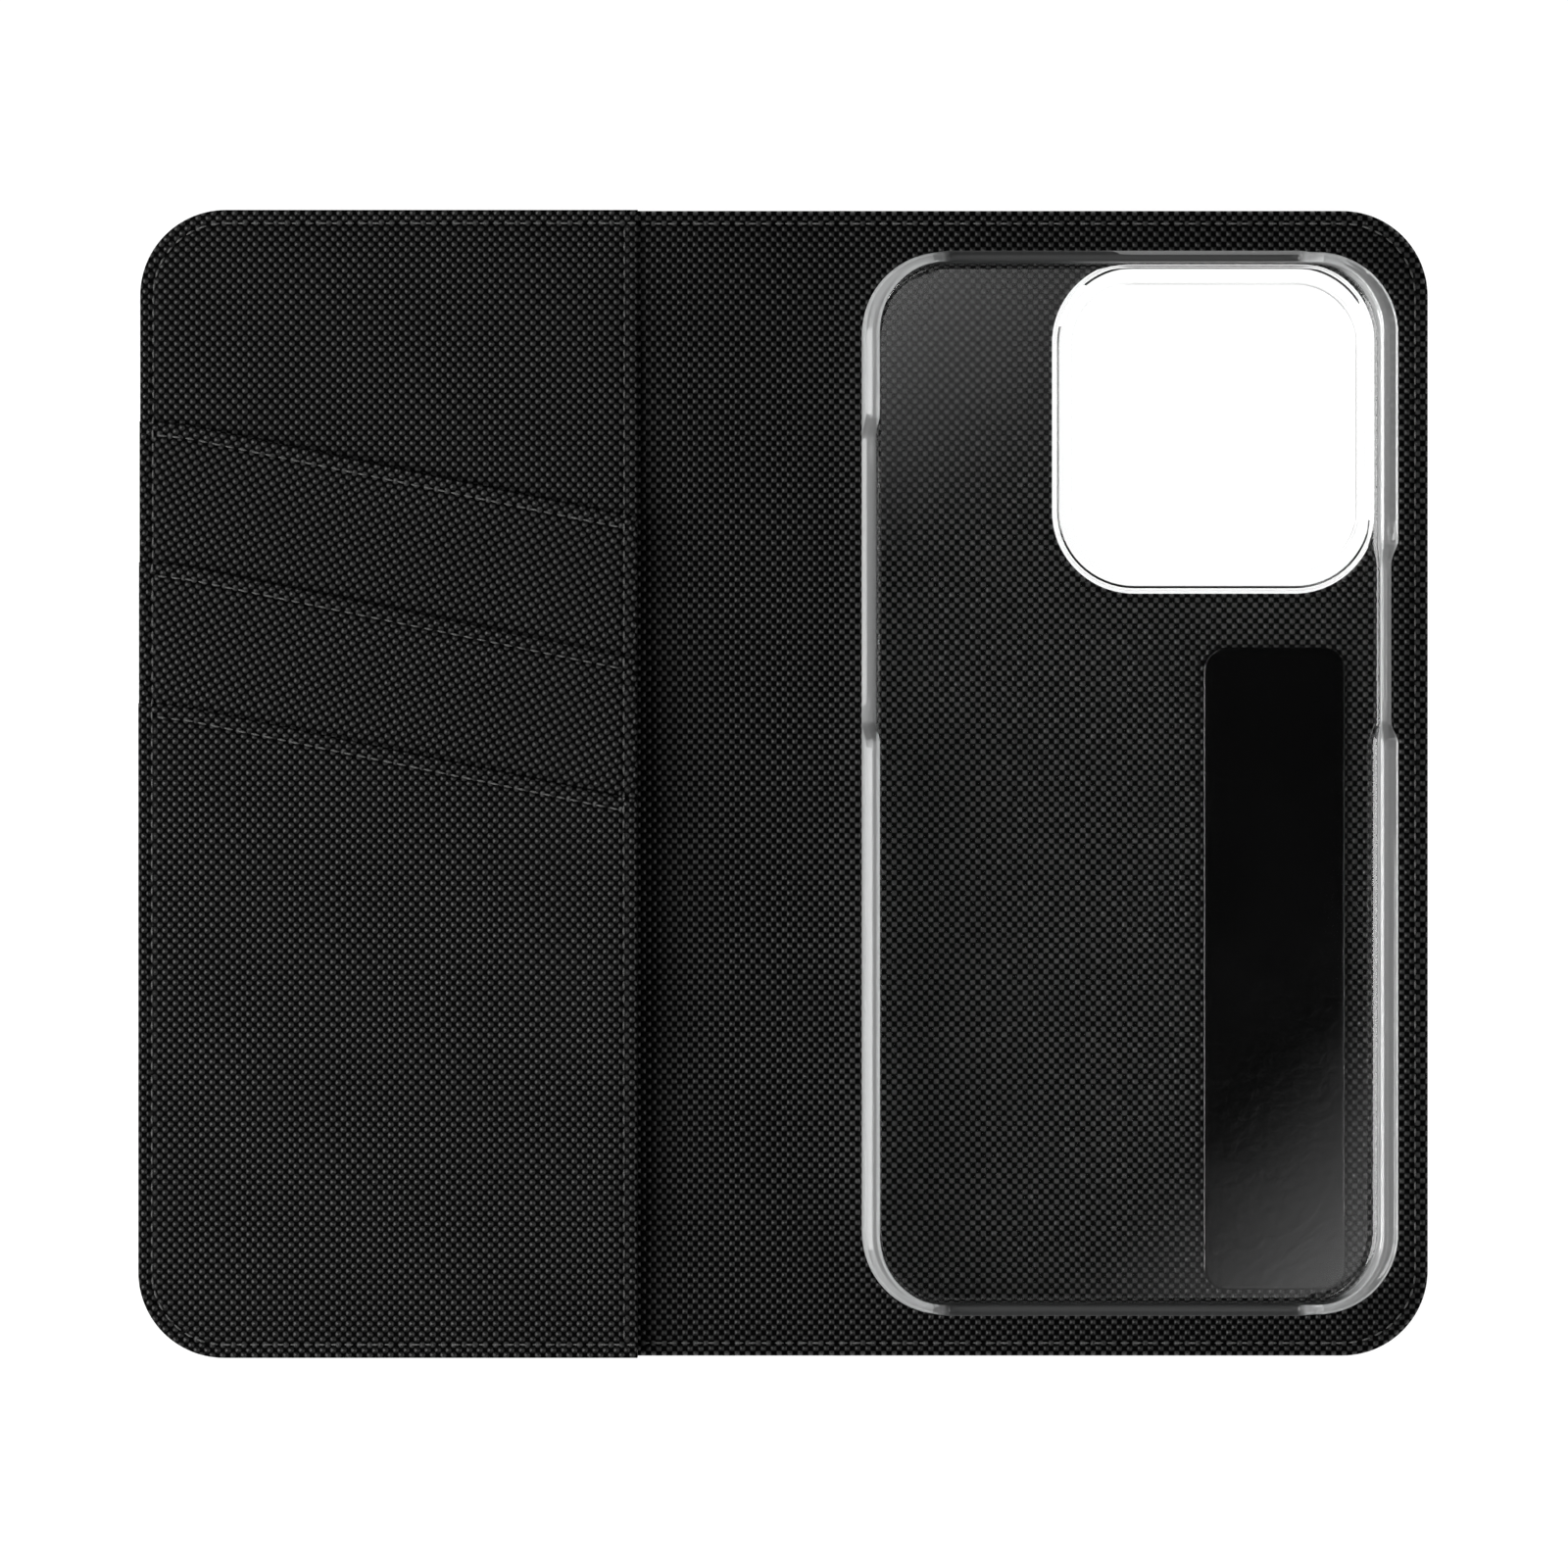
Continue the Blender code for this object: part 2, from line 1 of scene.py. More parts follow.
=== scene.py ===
"""Phone wallet case: the looks of an opened folio with a card wallet and a clear phone shell.

Every piece is a mesh made here from the frame's own places and sizes. The cover's skin and
lining are each made as two halves that meet at the spine's middle, the wallet's panel and
pockets are separate folded sheets, and each seam is a row of separate stitches in a sewn groove.
Lengths are in metres, and MM turns a millimetre into a metre.
"""

import json
import logging
import math
from dataclasses import dataclass, field
from enum import Enum
from typing import Any, Callable, Optional, Sequence, Union

import bmesh
import bpy
import numpy as np
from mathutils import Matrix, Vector
from mathutils.geometry import delaunay_2d_cdt


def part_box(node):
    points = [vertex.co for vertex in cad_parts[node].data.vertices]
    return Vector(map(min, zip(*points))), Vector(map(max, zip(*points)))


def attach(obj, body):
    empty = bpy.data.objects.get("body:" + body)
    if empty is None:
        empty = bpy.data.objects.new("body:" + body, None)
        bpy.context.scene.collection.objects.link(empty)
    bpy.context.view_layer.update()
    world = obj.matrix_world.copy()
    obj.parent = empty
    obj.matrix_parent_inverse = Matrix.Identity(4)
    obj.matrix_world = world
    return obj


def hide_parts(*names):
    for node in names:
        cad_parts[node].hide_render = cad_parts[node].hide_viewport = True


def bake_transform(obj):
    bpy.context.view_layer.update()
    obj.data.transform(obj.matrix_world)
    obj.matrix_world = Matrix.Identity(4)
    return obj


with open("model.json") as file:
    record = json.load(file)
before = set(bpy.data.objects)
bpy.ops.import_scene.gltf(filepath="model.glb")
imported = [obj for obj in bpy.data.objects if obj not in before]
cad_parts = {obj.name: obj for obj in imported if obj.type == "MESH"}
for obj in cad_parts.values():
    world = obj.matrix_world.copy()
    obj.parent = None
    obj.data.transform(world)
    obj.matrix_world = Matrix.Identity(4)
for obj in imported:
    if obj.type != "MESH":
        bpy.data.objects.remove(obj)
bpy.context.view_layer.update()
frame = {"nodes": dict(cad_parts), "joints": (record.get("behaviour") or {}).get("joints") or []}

MM = 0.001
FLAT_UV = "flat"
LOG = logging.getLogger("phone_wallet_case")

Array = np.ndarray
Point = tuple[float, float]
Colour = tuple[float, float, float]


# Shader graph


class Value:
    """A shader socket that can be used in an expression, which adds the nodes it needs."""

    def __init__(self, graph: "Graph", socket: Any) -> None:
        """Keep the graph that the socket belongs to, and the socket."""
        self.graph = graph
        self.socket = socket

    def _math(self, operation: str, *values: Any) -> "Value":
        """Add a Math node with these numbers or values as its inputs, in order."""
        return self.graph.node("ShaderNodeMath", {"operation": operation}, dict(enumerate(values)))

    def __add__(self, other: Any) -> "Value":
        """Add."""
        return self._math("ADD", self, other)

    __radd__ = __add__

    def __sub__(self, other: Any) -> "Value":
        """Subtract."""
        return self._math("SUBTRACT", self, other)

    def __rsub__(self, other: Any) -> "Value":
        """Subtract this from a number."""
        return self._math("SUBTRACT", other, self)

    def __mul__(self, other: Any) -> "Value":
        """Multiply."""
        return self._math("MULTIPLY", self, other)

    __rmul__ = __mul__

    def __truediv__(self, other: Any) -> "Value":
        """Divide."""
        return self._math("DIVIDE", self, other)

    def __pow__(self, other: Any) -> "Value":
        """Raise to a power."""
        return self._math("POWER", self, other)

    def cosine(self) -> "Value":
        """The cosine of this, in radians."""
        return self._math("COSINE", self)

    def absolute(self) -> "Value":
        """This without its sign."""
        return self._math("ABSOLUTE", self)

    def larger(self, other: Any) -> "Value":
        """The larger of this and another."""
        return self._math("MAXIMUM", self, other)

    def smaller(self, other: Any) -> "Value":
        """The smaller of this and another."""
        return self._math("MINIMUM", self, other)

    def ramp(self, low: float, high: float, start: float = 0.0, end: float = 1.0) -> "Value":
        """Go smoothly from one number to another.

        Args:
            low: Where the ramp starts.
            high: Where the ramp ends.
            start: The result at and below low.
            end: The result at and above high.

        Returns:
            The eased result.
        """
        settings = {"interpolation_type": "SMOOTHSTEP"}
        inputs = {"Value": self, "From Min": low, "From Max": high, "To Min": start, "To Max": end}
        return self.graph.node("ShaderNodeMapRange", settings, inputs)


class Graph:
    """The node tree of a material or a lamp."""

    def __init__(self, owner: Any, output: str = "ShaderNodeOutputMaterial") -> None:
        """Empty the owner's tree and give it an output.

        Args:
            owner: The material or lamp.
            output: The output node's type.
        """
        self.owner = owner
        owner.use_nodes = True
        self.tree = owner.node_tree
        self.tree.nodes.clear()
        self.out = self.tree.nodes.new(output)

    @classmethod
    def of_material(cls, name: str) -> "Graph":
        """Make a material and its tree."""
        return cls(bpy.data.materials.new(name))

    def node(
        self,
        kind: str,
        settings: Optional[dict[str, Any]] = None,
        inputs: Optional[dict[Union[str, int], Any]] = None,
        output: Union[str, int] = 0,
    ) -> Value:
        """Add a node.

        Args:
            kind: The node's type.
            settings: The node's own settings, such as a Math node's operation.
            inputs: Numbers, colours or values for its sockets, by name or index.
            output: The socket to give back.

        Returns:
            The chosen output.
        """
        made = self.tree.nodes.new(kind)
        for key, value in (settings or {}).items():
            setattr(made, key, value)
        for key, value in (inputs or {}).items():
            if isinstance(value, Value):
                self.tree.links.new(value.socket, made.inputs[key])
            else:
                made.inputs[key].default_value = value
        return Value(self, made.outputs[output])

    def mix(self, share: Any, first: Sequence[float], second: Sequence[float]) -> Value:
        """Mix two colours, with a share of the second."""
        inputs = {0: share, 6: (*first, 1.0), 7: (*second, 1.0)}
        return self.node("ShaderNodeMix", {"data_type": "RGBA"}, inputs, 2)

    def mix_shader(self, share: Any, first: Value, second: Value) -> Value:
        """Mix two shaders, with a share of the second."""
        return self.node("ShaderNodeMixShader", {}, {0: share, 1: first, 2: second})

    def vector(self, operation: str, first: Value, second: Any) -> Value:
        """Scale a vector by a number, or add or subtract another one."""
        key = "Scale" if operation == "SCALE" else 1
        return self.node("ShaderNodeVectorMath", {"operation": operation}, {0: first, key: second})

    def axis(self, vector: Value, name: str) -> Value:
        """One part of a vector, by its axis."""
        return self.node("ShaderNodeSeparateXYZ", {}, {0: vector}, name)

    def flat_place(self) -> Value:
        """The place on a sheet's flat layout, in metres."""
        return self.node("ShaderNodeUVMap", {"uv_map": FLAT_UV})

    def object_place(self) -> Value:
        """The place in the piece's own space, in metres."""
        return self.node("ShaderNodeTexCoord", {}, {}, "Object")

    def noise(
        self, place: Value, scale: float, detail: float = 2.0, roughness: float = 0.5,
        output: Union[str, int] = 0,
    ) -> Value:
        """Noise over a place.

        Args:
            place: The texture's vector.
            scale: Waves per unit of the vector.
            detail: Octaves of finer noise.
            roughness: How strong the finer noise is.
            output: The socket to give back, which is its level unless it is named.

        Returns:
            The noise, from 0 to 1.
        """
        inputs = {"Vector": place, "Scale": scale, "Detail": detail, "Roughness": roughness}
        return self.node("ShaderNodeTexNoise", {}, inputs, output)

    def bump(self, height: Value, distance: float, strength: float = 1.0) -> Value:
        """A normal that is tilted by a height."""
        inputs = {"Strength": strength, "Distance": distance, "Height": height}
        return self.node("ShaderNodeBump", {}, inputs, "Normal")

    def surface(
        self, colour: Any, rough: Any, bump: Optional[Value] = None, more: Optional[dict[str, Any]] = None
    ) -> Value:
        """Add a Principled shader.

        Args:
            colour: Its base colour.
            rough: Its roughness.
            bump: Its normal, or None for the mesh's own.
            more: Its other constants, by socket.

        Returns:
            The shader.
        """
        inputs = {"Base Color": colour, "Roughness": rough, **(more or {})}
        if bump is not None:
            inputs["Normal"] = bump
        return self.node("ShaderNodeBsdfPrincipled", {}, inputs)

    def finish(self, shader: Value) -> Any:
        """Connect the surface and give back the material or lamp."""
        self.tree.links.new(shader.socket, self.out.inputs["Surface"])
        return self.owner

    def finish_patterned(
        self, pattern: Value, first: Sequence[float], second: Sequence[float], rough: Value,
        depth: float, strength: float = 1.0,
    ) -> bpy.types.Material:
        """Finish with one layer whose bumps and colour follow a pattern.

        Args:
            pattern: A value from 0 to 1.
            first: The colour where it is 0.
            second: The colour where it is 1.
            rough: The layer's roughness.
            depth: The bumps' height.
            strength: How strongly they show.

        Returns:
            The material.
        """
        bump = self.bump(pattern, depth, strength)
        return self.finish(self.surface(self.mix(pattern, first, second), rough, bump))


# Finishes


@dataclass(frozen=True)
class Finish:
    """A finish, whose material takes its name."""

    name: str


@dataclass(frozen=True)
class GrainedLeather(Finish):
    """Black leather-look sheet, embossed with small round pebbles joined by thin ridges, with painted
    shade in the pits between them.

    Attributes:
        cell: The side of the square that repeats, with a pebble at its corners and middle.
        depth: The height of a pebble above the pits.
        pit_painted_shade: The dark colour in the pits, painted shade for the shadow that falls there.
        crest: The colour on the pebbles.
        crest_roughness: The roughness on the pebbles.
        foot_roughness: How much rougher the pebbles' feet are.
        pit_painted_shade_share: How much of the pits is a dark layer that does not shine, as painted
            shade, from 0 to 1.
        peak: How pointed the pebbles are.
        ridge: How far the ridges stand out between the pebbles.
        ridge_power: How thin the ridges are.
        wander: How far the rows of pebbles wander, in millimetres.
        uneven: How much the pebbles differ in height.
        wear: How much the roughness differs from place to place.
        fine: How strong the finest noise is.
    """

    cell: float = 1.4933 * MM
    depth: float = 0.26 * MM
    pit_painted_shade: Colour = (0.0006, 0.0006, 0.0006)
    crest: Colour = (0.0115, 0.0113, 0.0109)
    crest_roughness: float = 0.44
    foot_roughness: float = 0.16
    pit_painted_shade_share: float = 0.96
    peak: float = 0.75
    ridge: float = 0.15
    ridge_power: float = 6.0
    wander: float = 0.22
    uneven: float = 0.4
    wear: float = 0.14
    fine: float = 0.08

    def material(self) -> bpy.types.Material:
        """Make the leather, whose grain follows the sheet's flat layout.

        Returns:
            The material.
        """
        g = Graph.of_material(self.name)
        in_mm = g.vector("SCALE", g.flat_place(), 1 / MM)
        drift = g.vector("SUBTRACT", g.noise(in_mm, 0.35, output="Color"), (0.5, 0.5, 0.5))
        place = g.vector("ADD", in_mm, g.vector("SCALE", drift, self.wander))
        across, up = g.axis(place, "X"), g.axis(place, "Y")

        turns = 2 * math.pi * MM / self.cell
        rising = ((across + up) * turns).cosine() * 0.5 + 0.5
        falling = ((across - up) * turns).cosine() * 0.5 + 0.5
        pebble = (rising * falling) ** self.peak
        ridge = (rising**self.ridge_power).larger(falling**self.ridge_power) * self.ridge
        fine = g.noise(in_mm, 7.0, 3.0, 0.6) * self.fine
        share = g.noise(in_mm, 0.55) * self.uneven + (1 - self.uneven)
        bump = g.bump(pebble * share + ridge + fine, self.depth)

        # The pits are painted dark, with a darker colour and a layer that does not shine: painted shade
        # for the shadows between the pebbles.
        crest = (pebble + ridge).smaller(1.0)
        colour = g.mix(crest, self.pit_painted_shade, self.crest)
        worn = (g.noise(in_mm, 0.06) - 0.5) * self.wear
        foot = self.crest_roughness + self.foot_roughness
        rough = crest.ramp(0.1, 0.9, foot, self.crest_roughness) + worn + fine
        shiny = g.surface(colour, rough, bump, {"IOR": 1.5})
        pit_shade_layer = g.surface(colour, 0.9, bump, {"Specular IOR Level": 0.0})
        return g.finish(g.mix_shader(crest.ramp(0.10, 0.52, self.pit_painted_shade_share, 0.0), shiny, pit_shade_layer))


@dataclass(frozen=True)
class TwistedThread(Finish):
    """Black polyester thread, whose strands wind round it.

    Attributes:
        colour: The strands' colour.
        strand: The distance between strands along the thread.
    """

    colour: Colour = (0.16, 0.16, 0.157)
    strand: float = 0.22 * MM

    def material(self) -> bpy.types.Material:
        """Make the thread, with its twist following the stitch's own length and girth, and painted shade
        in the grooves between its strands.

        Returns:
            The material.
        """
        g = Graph.of_material(self.name)
        flat = g.flat_place()
        wound = g.axis(flat, "X") / self.strand + g.axis(flat, "Y")
        twist = (wound * (2 * math.pi)).cosine() * 0.5 + 0.5
        # The grooves between the strands are painted darker: painted shade in the creases of the twist.
        dark = tuple(c * 0.45 for c in self.colour)
        rough = twist.ramp(0.0, 1.0, 0.7, 0.5)
        return g.finish_patterned(twist, dark, self.colour, rough, 0.05 * MM)


@dataclass(frozen=True)
class ClearPlastic(Finish):
    """Clear moulded plastic that is milkier in its walls, with painted shade on its low end walls, and
    lets lamps through.

    Attributes:
        wall_start: The height at which the milky walls start.
        wall_full: The height from which the walls are at their milkiest.
        end_walls: How far from the middle the thin end walls, painted dark as shade, start and end.
        end_top: The height above which the end walls' corners are pale and milky again, without the
            painted shade.
        end_blend: How far above that they are fully milky.
        collar: The heights of the collar's milky band, from low to high.
        floor_haze: How milky the thin floor is.
        wall_haze: How milky the walls are.
        end_painted_shade_share: How much of the low end walls the dark painted shade covers.
        collar_haze: How milky the collar's band is.
        pale: The milky layer's colour in the thick walls.
        end_wall_painted_shade: The milky layer's colour on the low end walls: a dark painted shade for
            the shade that lies on them.
        tint: The colour of light that has passed through.
        shade: The light that its thin floor lets through to a shadow.
        wall_shade: The light that its walls let through to a shadow.
    """

    wall_start: float
    wall_full: float
    end_walls: Point
    end_top: float
    collar: Point
    floor_haze: float = 0.0006
    wall_haze: float = 0.32
    end_blend: float = 4.0 * MM
    end_painted_shade_share: float = 0.85
    collar_haze: float = 0.2
    pale: Colour = (0.8, 0.81, 0.81)
    end_wall_painted_shade: Colour = (0.04, 0.041, 0.041)
    tint: Colour = (0.972, 0.976, 0.976)
    shade: Colour = (0.95, 0.955, 0.955)
    wall_shade: Colour = (0.70, 0.71, 0.71)

    def material(self) -> bpy.types.Material:
        """Make the plastic.

        Returns:
            The material.
        """
        g = Graph.of_material(self.name)
        place = g.object_place()
        height = g.axis(place, "Z")
        bump = g.bump(g.noise(place, 30.0, 1.0), 0.4 * MM, 0.03)
        rough = g.noise(place, 900.0, 3.0, 0.7).ramp(0.45, 0.8, 0.008, 0.02)
        clear = g.surface((*self.tint, 1.0), rough, bump, {"IOR": 1.46, "Transmission Weight": 1.0})

        # The low end walls are painted as shaded: away from the tall corners a dark layer covers most of
        # them.
        tall = height.ramp(self.end_top, self.end_top + self.end_blend)
        thick = g.axis(place, "Y").absolute().ramp(*self.end_walls, 1.0, 0.0).larger(tall)
        milk_and_end_shade = g.surface(g.mix(thick, self.end_wall_painted_shade, self.pale), 0.35)
        wall = height.ramp(self.wall_start, self.wall_full)
        low, high = self.collar
        band = height.ramp(low, high) * height.ramp(high + 0.05 * MM, high + 0.1 * MM, 1.0, 0.0)
        haze = wall * thick.ramp(0.0, 1.0, self.end_painted_shade_share, self.wall_haze)
        haze = haze + band * self.collar_haze + self.floor_haze
        solid = g.mix_shader(haze, clear, milk_and_end_shade)

        shades = [
            g.node("ShaderNodeBsdfTransparent", {}, {"Color": (*shade, 1.0)})
            for shade in (self.shade, self.wall_shade)
        ]
        shadow = g.node("ShaderNodeLightPath", {}, {}, "Is Shadow Ray")
        return g.finish(g.mix_shader(shadow, solid, g.mix_shader(wall, *shades)))


@dataclass(frozen=True)
class PadFilm(Finish):
    """Smooth black film over thin foam."""

    colour: Colour = (0.0006, 0.0006, 0.0006)

    def material(self) -> bpy.types.Material:
        """Make the film, with the faint mottling of the foam under it.

        Returns:
            The material.
        """
        g = Graph.of_material(self.name)
        place = g.object_place()
        light = tuple(c * 1.5 for c in self.colour)
        rough = g.noise(place, 60.0).ramp(0.3, 0.7, 0.07, 0.11)
        return g.finish_patterned(g.noise(place, 700.0, 3.0), self.colour, light, rough, 0.05 * MM, 0.25)


@dataclass(frozen=True)
class GreyCard(Finish):
    """Grey recycled card, flecked with fibres."""

    colour: Colour = (0.17, 0.16, 0.145)

    def material(self) -> bpy.types.Material:
        """Make the card.

        Returns:
            The material.
        """
        g = Graph.of_material(self.name)
        fleck = g.noise(g.object_place(), 1500.0, 4.0, 0.7)
        dark = tuple(c * 0.6 for c in self.colour)
        rough = fleck.ramp(0.2, 0.8, 0.85, 0.95)
        return g.finish_patterned(fleck, dark, self.colour, rough, 0.05 * MM, 0.5)


@dataclass(frozen=True)
class WhiteSweep(Finish):
    """A plain white floor that is bright by itself, so that shadows on it stay faint.

    Attributes:
        glow: The light that the floor gives off.
        base: The grey that it scatters.
    """

    glow: float = 0.97
    base: float = 0.12

    def material(self) -> bpy.types.Material:
        """Make the floor's finish.

        Returns:
            The material.
        """
        g = Graph.of_material(self.name)
        glow = {"Emission Color": (1.0, 1.0, 1.0, 1.0), "Emission Strength": self.glow}
        return g.finish(g.surface((self.base, self.base, self.base, 1.0), 0.9, more=glow))


# Outlines and flat meshes


def arc(centre: Point, radius: float, start: float, end: float, segments: int = 20) -> list[Point]:
    """Points along a circle.

    Args:
        centre: The circle's centre.
        radius: Its radius.
        start: The first point's angle, in degrees.
        end: The last point's angle, in degrees.
        segments: The number of steps.

    Returns:
        The points, both ends included.
    """
    turn = [math.radians(start + (end - start) * i / segments) for i in range(segments + 1)]
    return [(centre[0] + radius * math.cos(a), centre[1] + radius * math.sin(a)) for a in turn]


def quarter(steps: int) -> list[Point]:
    """The sine and the cosine at equal steps over a quarter turn, both ends included."""
    angles = [math.radians(90 * i / steps) for i in range(steps + 1)]
    return [(math.sin(a), math.cos(a)) for a in angles]


def walk(points: Sequence[Point], step: float, closed: bool = False) -> list[Point]:
    """Add points to a line so that none are further apart than a step.

    Args:
        points: The line's own points.
        step: The furthest distance between two points.
        closed: Whether the last point joins the first.

    Returns:
        The line with its added points.
    """
    ends = list(points[1:]) + ([points[0]] if closed else [])
    result: list[Point] = []
    for (x0, y0), (x1, y1) in zip(points, ends):
        count = max(1, math.ceil(math.dist((x0, y0), (x1, y1)) / step))
        result += [(x0 + (x1 - x0) * i / count, y0 + (y1 - y0) * i / count) for i in range(count)]
    return result if closed else result + [points[-1]]


def rounded_box(low: Array, high: Array, corner: float, step: float) -> Array:
    """The outline of a rectangle with round corners, counter-clockwise.

    Args:
        low: Its lower left corner.
        high: Its upper right corner.
        corner: Its corners' radius.
        step: The furthest distance between two of its points on a straight side.

    Returns:
        The outline's points.
    """
    (x0, y0), (x1, y1), r = low, high, corner
    points = arc((x1 - r, y1 - r), r, 0, 90) + arc((x0 + r, y1 - r), r, 90, 180)
    points += arc((x0 + r, y0 + r), r, 180, 270) + arc((x1 - r, y0 + r), r, 270, 360)
    return np.array(walk(points, step, closed=True))


def inset_loop(loop: Array, distance: float, fixed: Array) -> Array:
    """Move a closed counter-clockwise outline inward.

    Args:
        loop: The outline's points.
        distance: How far each free edge moves.
        fixed: For each edge, whether it stays in place.

    Returns:
        The moved points, one for each of the outline's.
    """
    edge = np.roll(loop, -1, axis=0) - loop
    edge /= np.linalg.norm(edge, axis=1, keepdims=True)
    inward = np.stack([-edge[:, 1], edge[:, 0]], axis=1)
    move = np.where(fixed, 0.0, distance)
    before, move_before = np.roll(inward, 1, axis=0), np.roll(move, 1)
    det = before[:, 0] * inward[:, 1] - before[:, 1] * inward[:, 0]
    flat = np.abs(det) < 1e-3
    det = np.where(flat, 1.0, det)
    x = (move_before * inward[:, 1] - move * before[:, 1]) / det
    y = (move * before[:, 0] - move_before * inward[:, 0]) / det
    straight = inward * move[:, None]
    return loop + np.where(flat[:, None], straight, np.stack([x, y], axis=1))


def distance_to(points: Array, starts: Array, ends: Array) -> Array:
    """The distance from each point to the nearest of some line segments.

    Args:
        points: The points.
        starts: The segments' first ends.
        ends: Their second ends.

    Returns:
        A distance for each point.
    """
    best = np.full(len(points), np.inf)
    for a, b in zip(starts, ends):
        d = b - a
        t = np.clip((points - a) @ d / max(float(d @ d), 1e-18), 0, 1)
        best = np.minimum(best, np.linalg.norm(points - a - t[:, None] * d, axis=1))
    return best


def inside(points: Array, loop: Array) -> Array:
    """Whether each point lies inside a closed outline.

    Args:
        points: The points.
        loop: The outline's points.

    Returns:
        A yes or no for each point.
    """
    x, y = points[:, 0], points[:, 1]
    result = np.zeros(len(points), bool)
    for (x0, y0), (x1, y1) in zip(loop, np.roll(loop, -1, axis=0)):
        crosses = (y0 > y) != (y1 > y)
        at = x0 + (y - y0) * (x1 - x0) / (y1 - y0 if y1 != y0 else 1e-18)
        result ^= crosses & (x < at)
    return result


def no_cut(middle: Array) -> Array:
    """Where a shape is only cut, for one whose whole outer edge is finished."""
    return np.zeros(len(middle), bool)


@dataclass
class Outline:
    """A flat shape: an outer edge, edges that are only cuts, and holes.

    Attributes:
        loop: The outer edge, counter-clockwise.
        is_cut: Whether an edge with this middle point is only a cut, not a finished edge.
        holes: The holes' edges.
    """

    loop: Array
    is_cut: Callable[[Array], Array] = no_cut
    holes: list[Array] = field(default_factory=list)

    def fixed(self) -> Array:
        """For each outer edge, whether it is only a cut."""
        return self.is_cut((self.loop + np.roll(self.loop, -1, axis=0)) / 2)

    def edge_distance(self, points: Array) -> Array:
        """The distance from each point to the finished outer edges.

        Args:
            points: The points.

        Returns:
            A distance for each point.
        """
        free = ~self.fixed()
        return distance_to(points, self.loop[free], np.roll(self.loop, -1, axis=0)[free])

    def hole_distance(self, points: Array) -> Array:
        """The distance from each point to the nearest hole's edge.

        Args:
            points: The points.

        Returns:
            A distance for each point.
        """
        best = np.full(len(points), np.inf)
        for hole in self.holes:
            best = np.minimum(best, distance_to(points, hole, np.roll(hole, -1, axis=0)))
        return best

    def contains(self, points: Array) -> Array:
        """Whether each point is on the sheet.

        Args:
            points: The points.

        Returns:
            A yes or no for each point.
        """
        result = inside(points, self.loop)
        for hole in self.holes:
            result &= ~inside(points, hole)
        return result

    def triangulate(self, insets: Sequence[float], columns: Array, rows: Array) -> tuple[Array, list]:
        """Fill the shape with triangles that follow its edges.

        Args:
            insets: How far inside each edge a row of points runs, from 0 up.
            columns: The x places of the points between.
            rows: The y places of the points between.

        Returns:
            The points, and the triangles as indices into them.
        """
        points: list[Array] = []
        edges: list[tuple[int, int]] = []

        def add_ring(ring: Array) -> None:
            """Add a closed ring of points and its edges."""
            start, count = sum(len(p) for p in points), len(ring)
            points.append(ring)
            edges.extend((start + i, start + (i + 1) % count) for i in range(count))

        for inset in insets:
            add_ring(inset_loop(self.loop, inset, self.fixed()))
            for hole in self.holes:
                add_ring(inset_loop(hole, -inset, np.zeros(len(hole), bool)))
        grid = np.stack(np.meshgrid(columns, rows), axis=-1).reshape(-1, 2)
        clear = insets[-1] + 0.6 * MM
        edge = np.minimum(self.edge_distance(grid), self.hole_distance(grid))
        points.append(grid[self.contains(grid) & (edge > clear)])
        flat = np.concatenate(points)
        made = delaunay_2d_cdt([Vector(p) for p in flat], edges, [], 0, 1e-8, False)
        places = np.array([tuple(p) for p in made[0]])
        triangles = np.array([tuple(t) for t in made[2] if len(t) == 3])
        middle = places[triangles].mean(axis=1)
        return places, triangles[self.contains(middle)].tolist()


def link(name: str, data: bpy.types.ID) -> bpy.types.Object:
    """Put a mesh, a lamp or a camera in the scene."""
    made = bpy.data.objects.new(name, data)
    bpy.context.scene.collection.objects.link(made)
    return made


def dress(mesh: bpy.types.Mesh, material: bpy.types.Material) -> None:
    """Give a mesh one material."""
    mesh.materials.clear()
    mesh.materials.append(material)


def new_object(name: str, mesh: bpy.types.Mesh, material: bpy.types.Material) -> bpy.types.Object:
    """Put a mesh in the scene as a piece with one material."""
    dress(mesh, material)
    return link(name, mesh)


def set_flat_uv(mesh: bpy.types.Mesh, flat: Array, turn: float = 0.0) -> None:
    """Store each vertex's place on the flat sheet as its texture place.

    Args:
        mesh: The mesh.
        flat: A place for each vertex, in metres.
        turn: How far the grain is turned, in degrees.
    """
    c, s = math.cos(math.radians(turn)), math.sin(math.radians(turn))
    turned = np.stack([flat[:, 0] * c + flat[:, 1] * s, -flat[:, 0] * s + flat[:, 1] * c], axis=1)
    layer = mesh.uv_layers.new(name=FLAT_UV)
    corner = np.zeros(len(mesh.loops), np.int32)
    mesh.loops.foreach_get("vertex_index", corner)
    layer.data.foreach_set("uv", turned[corner].astype(np.float32).ravel())


def smooth(mesh: bpy.types.Mesh, sharp_degrees: float = 50.0) -> None:
    """Shade a mesh smooth, apart from its sharp edges."""
    mesh.shade_smooth()
    mesh.set_sharp_from_angle(angle=math.radians(sharp_degrees))


def thicken(piece: bpy.types.Object, thickness: float) -> None:
    """Give an open surface a thickness on its inner side, and make it final.

    Args:
        piece: The piece.
        thickness: The thickness.
    """
    solid = piece.modifiers.new("thickness", "SOLIDIFY")
    solid.thickness, solid.offset, solid.use_rim = thickness, -1.0, True
    bpy.context.view_layer.update()
    graph = bpy.context.evaluated_depsgraph_get()
    mesh = bpy.data.meshes.new_from_object(piece.evaluated_get(graph))
    piece.modifiers.clear()
    piece.data = mesh
    smooth(mesh)


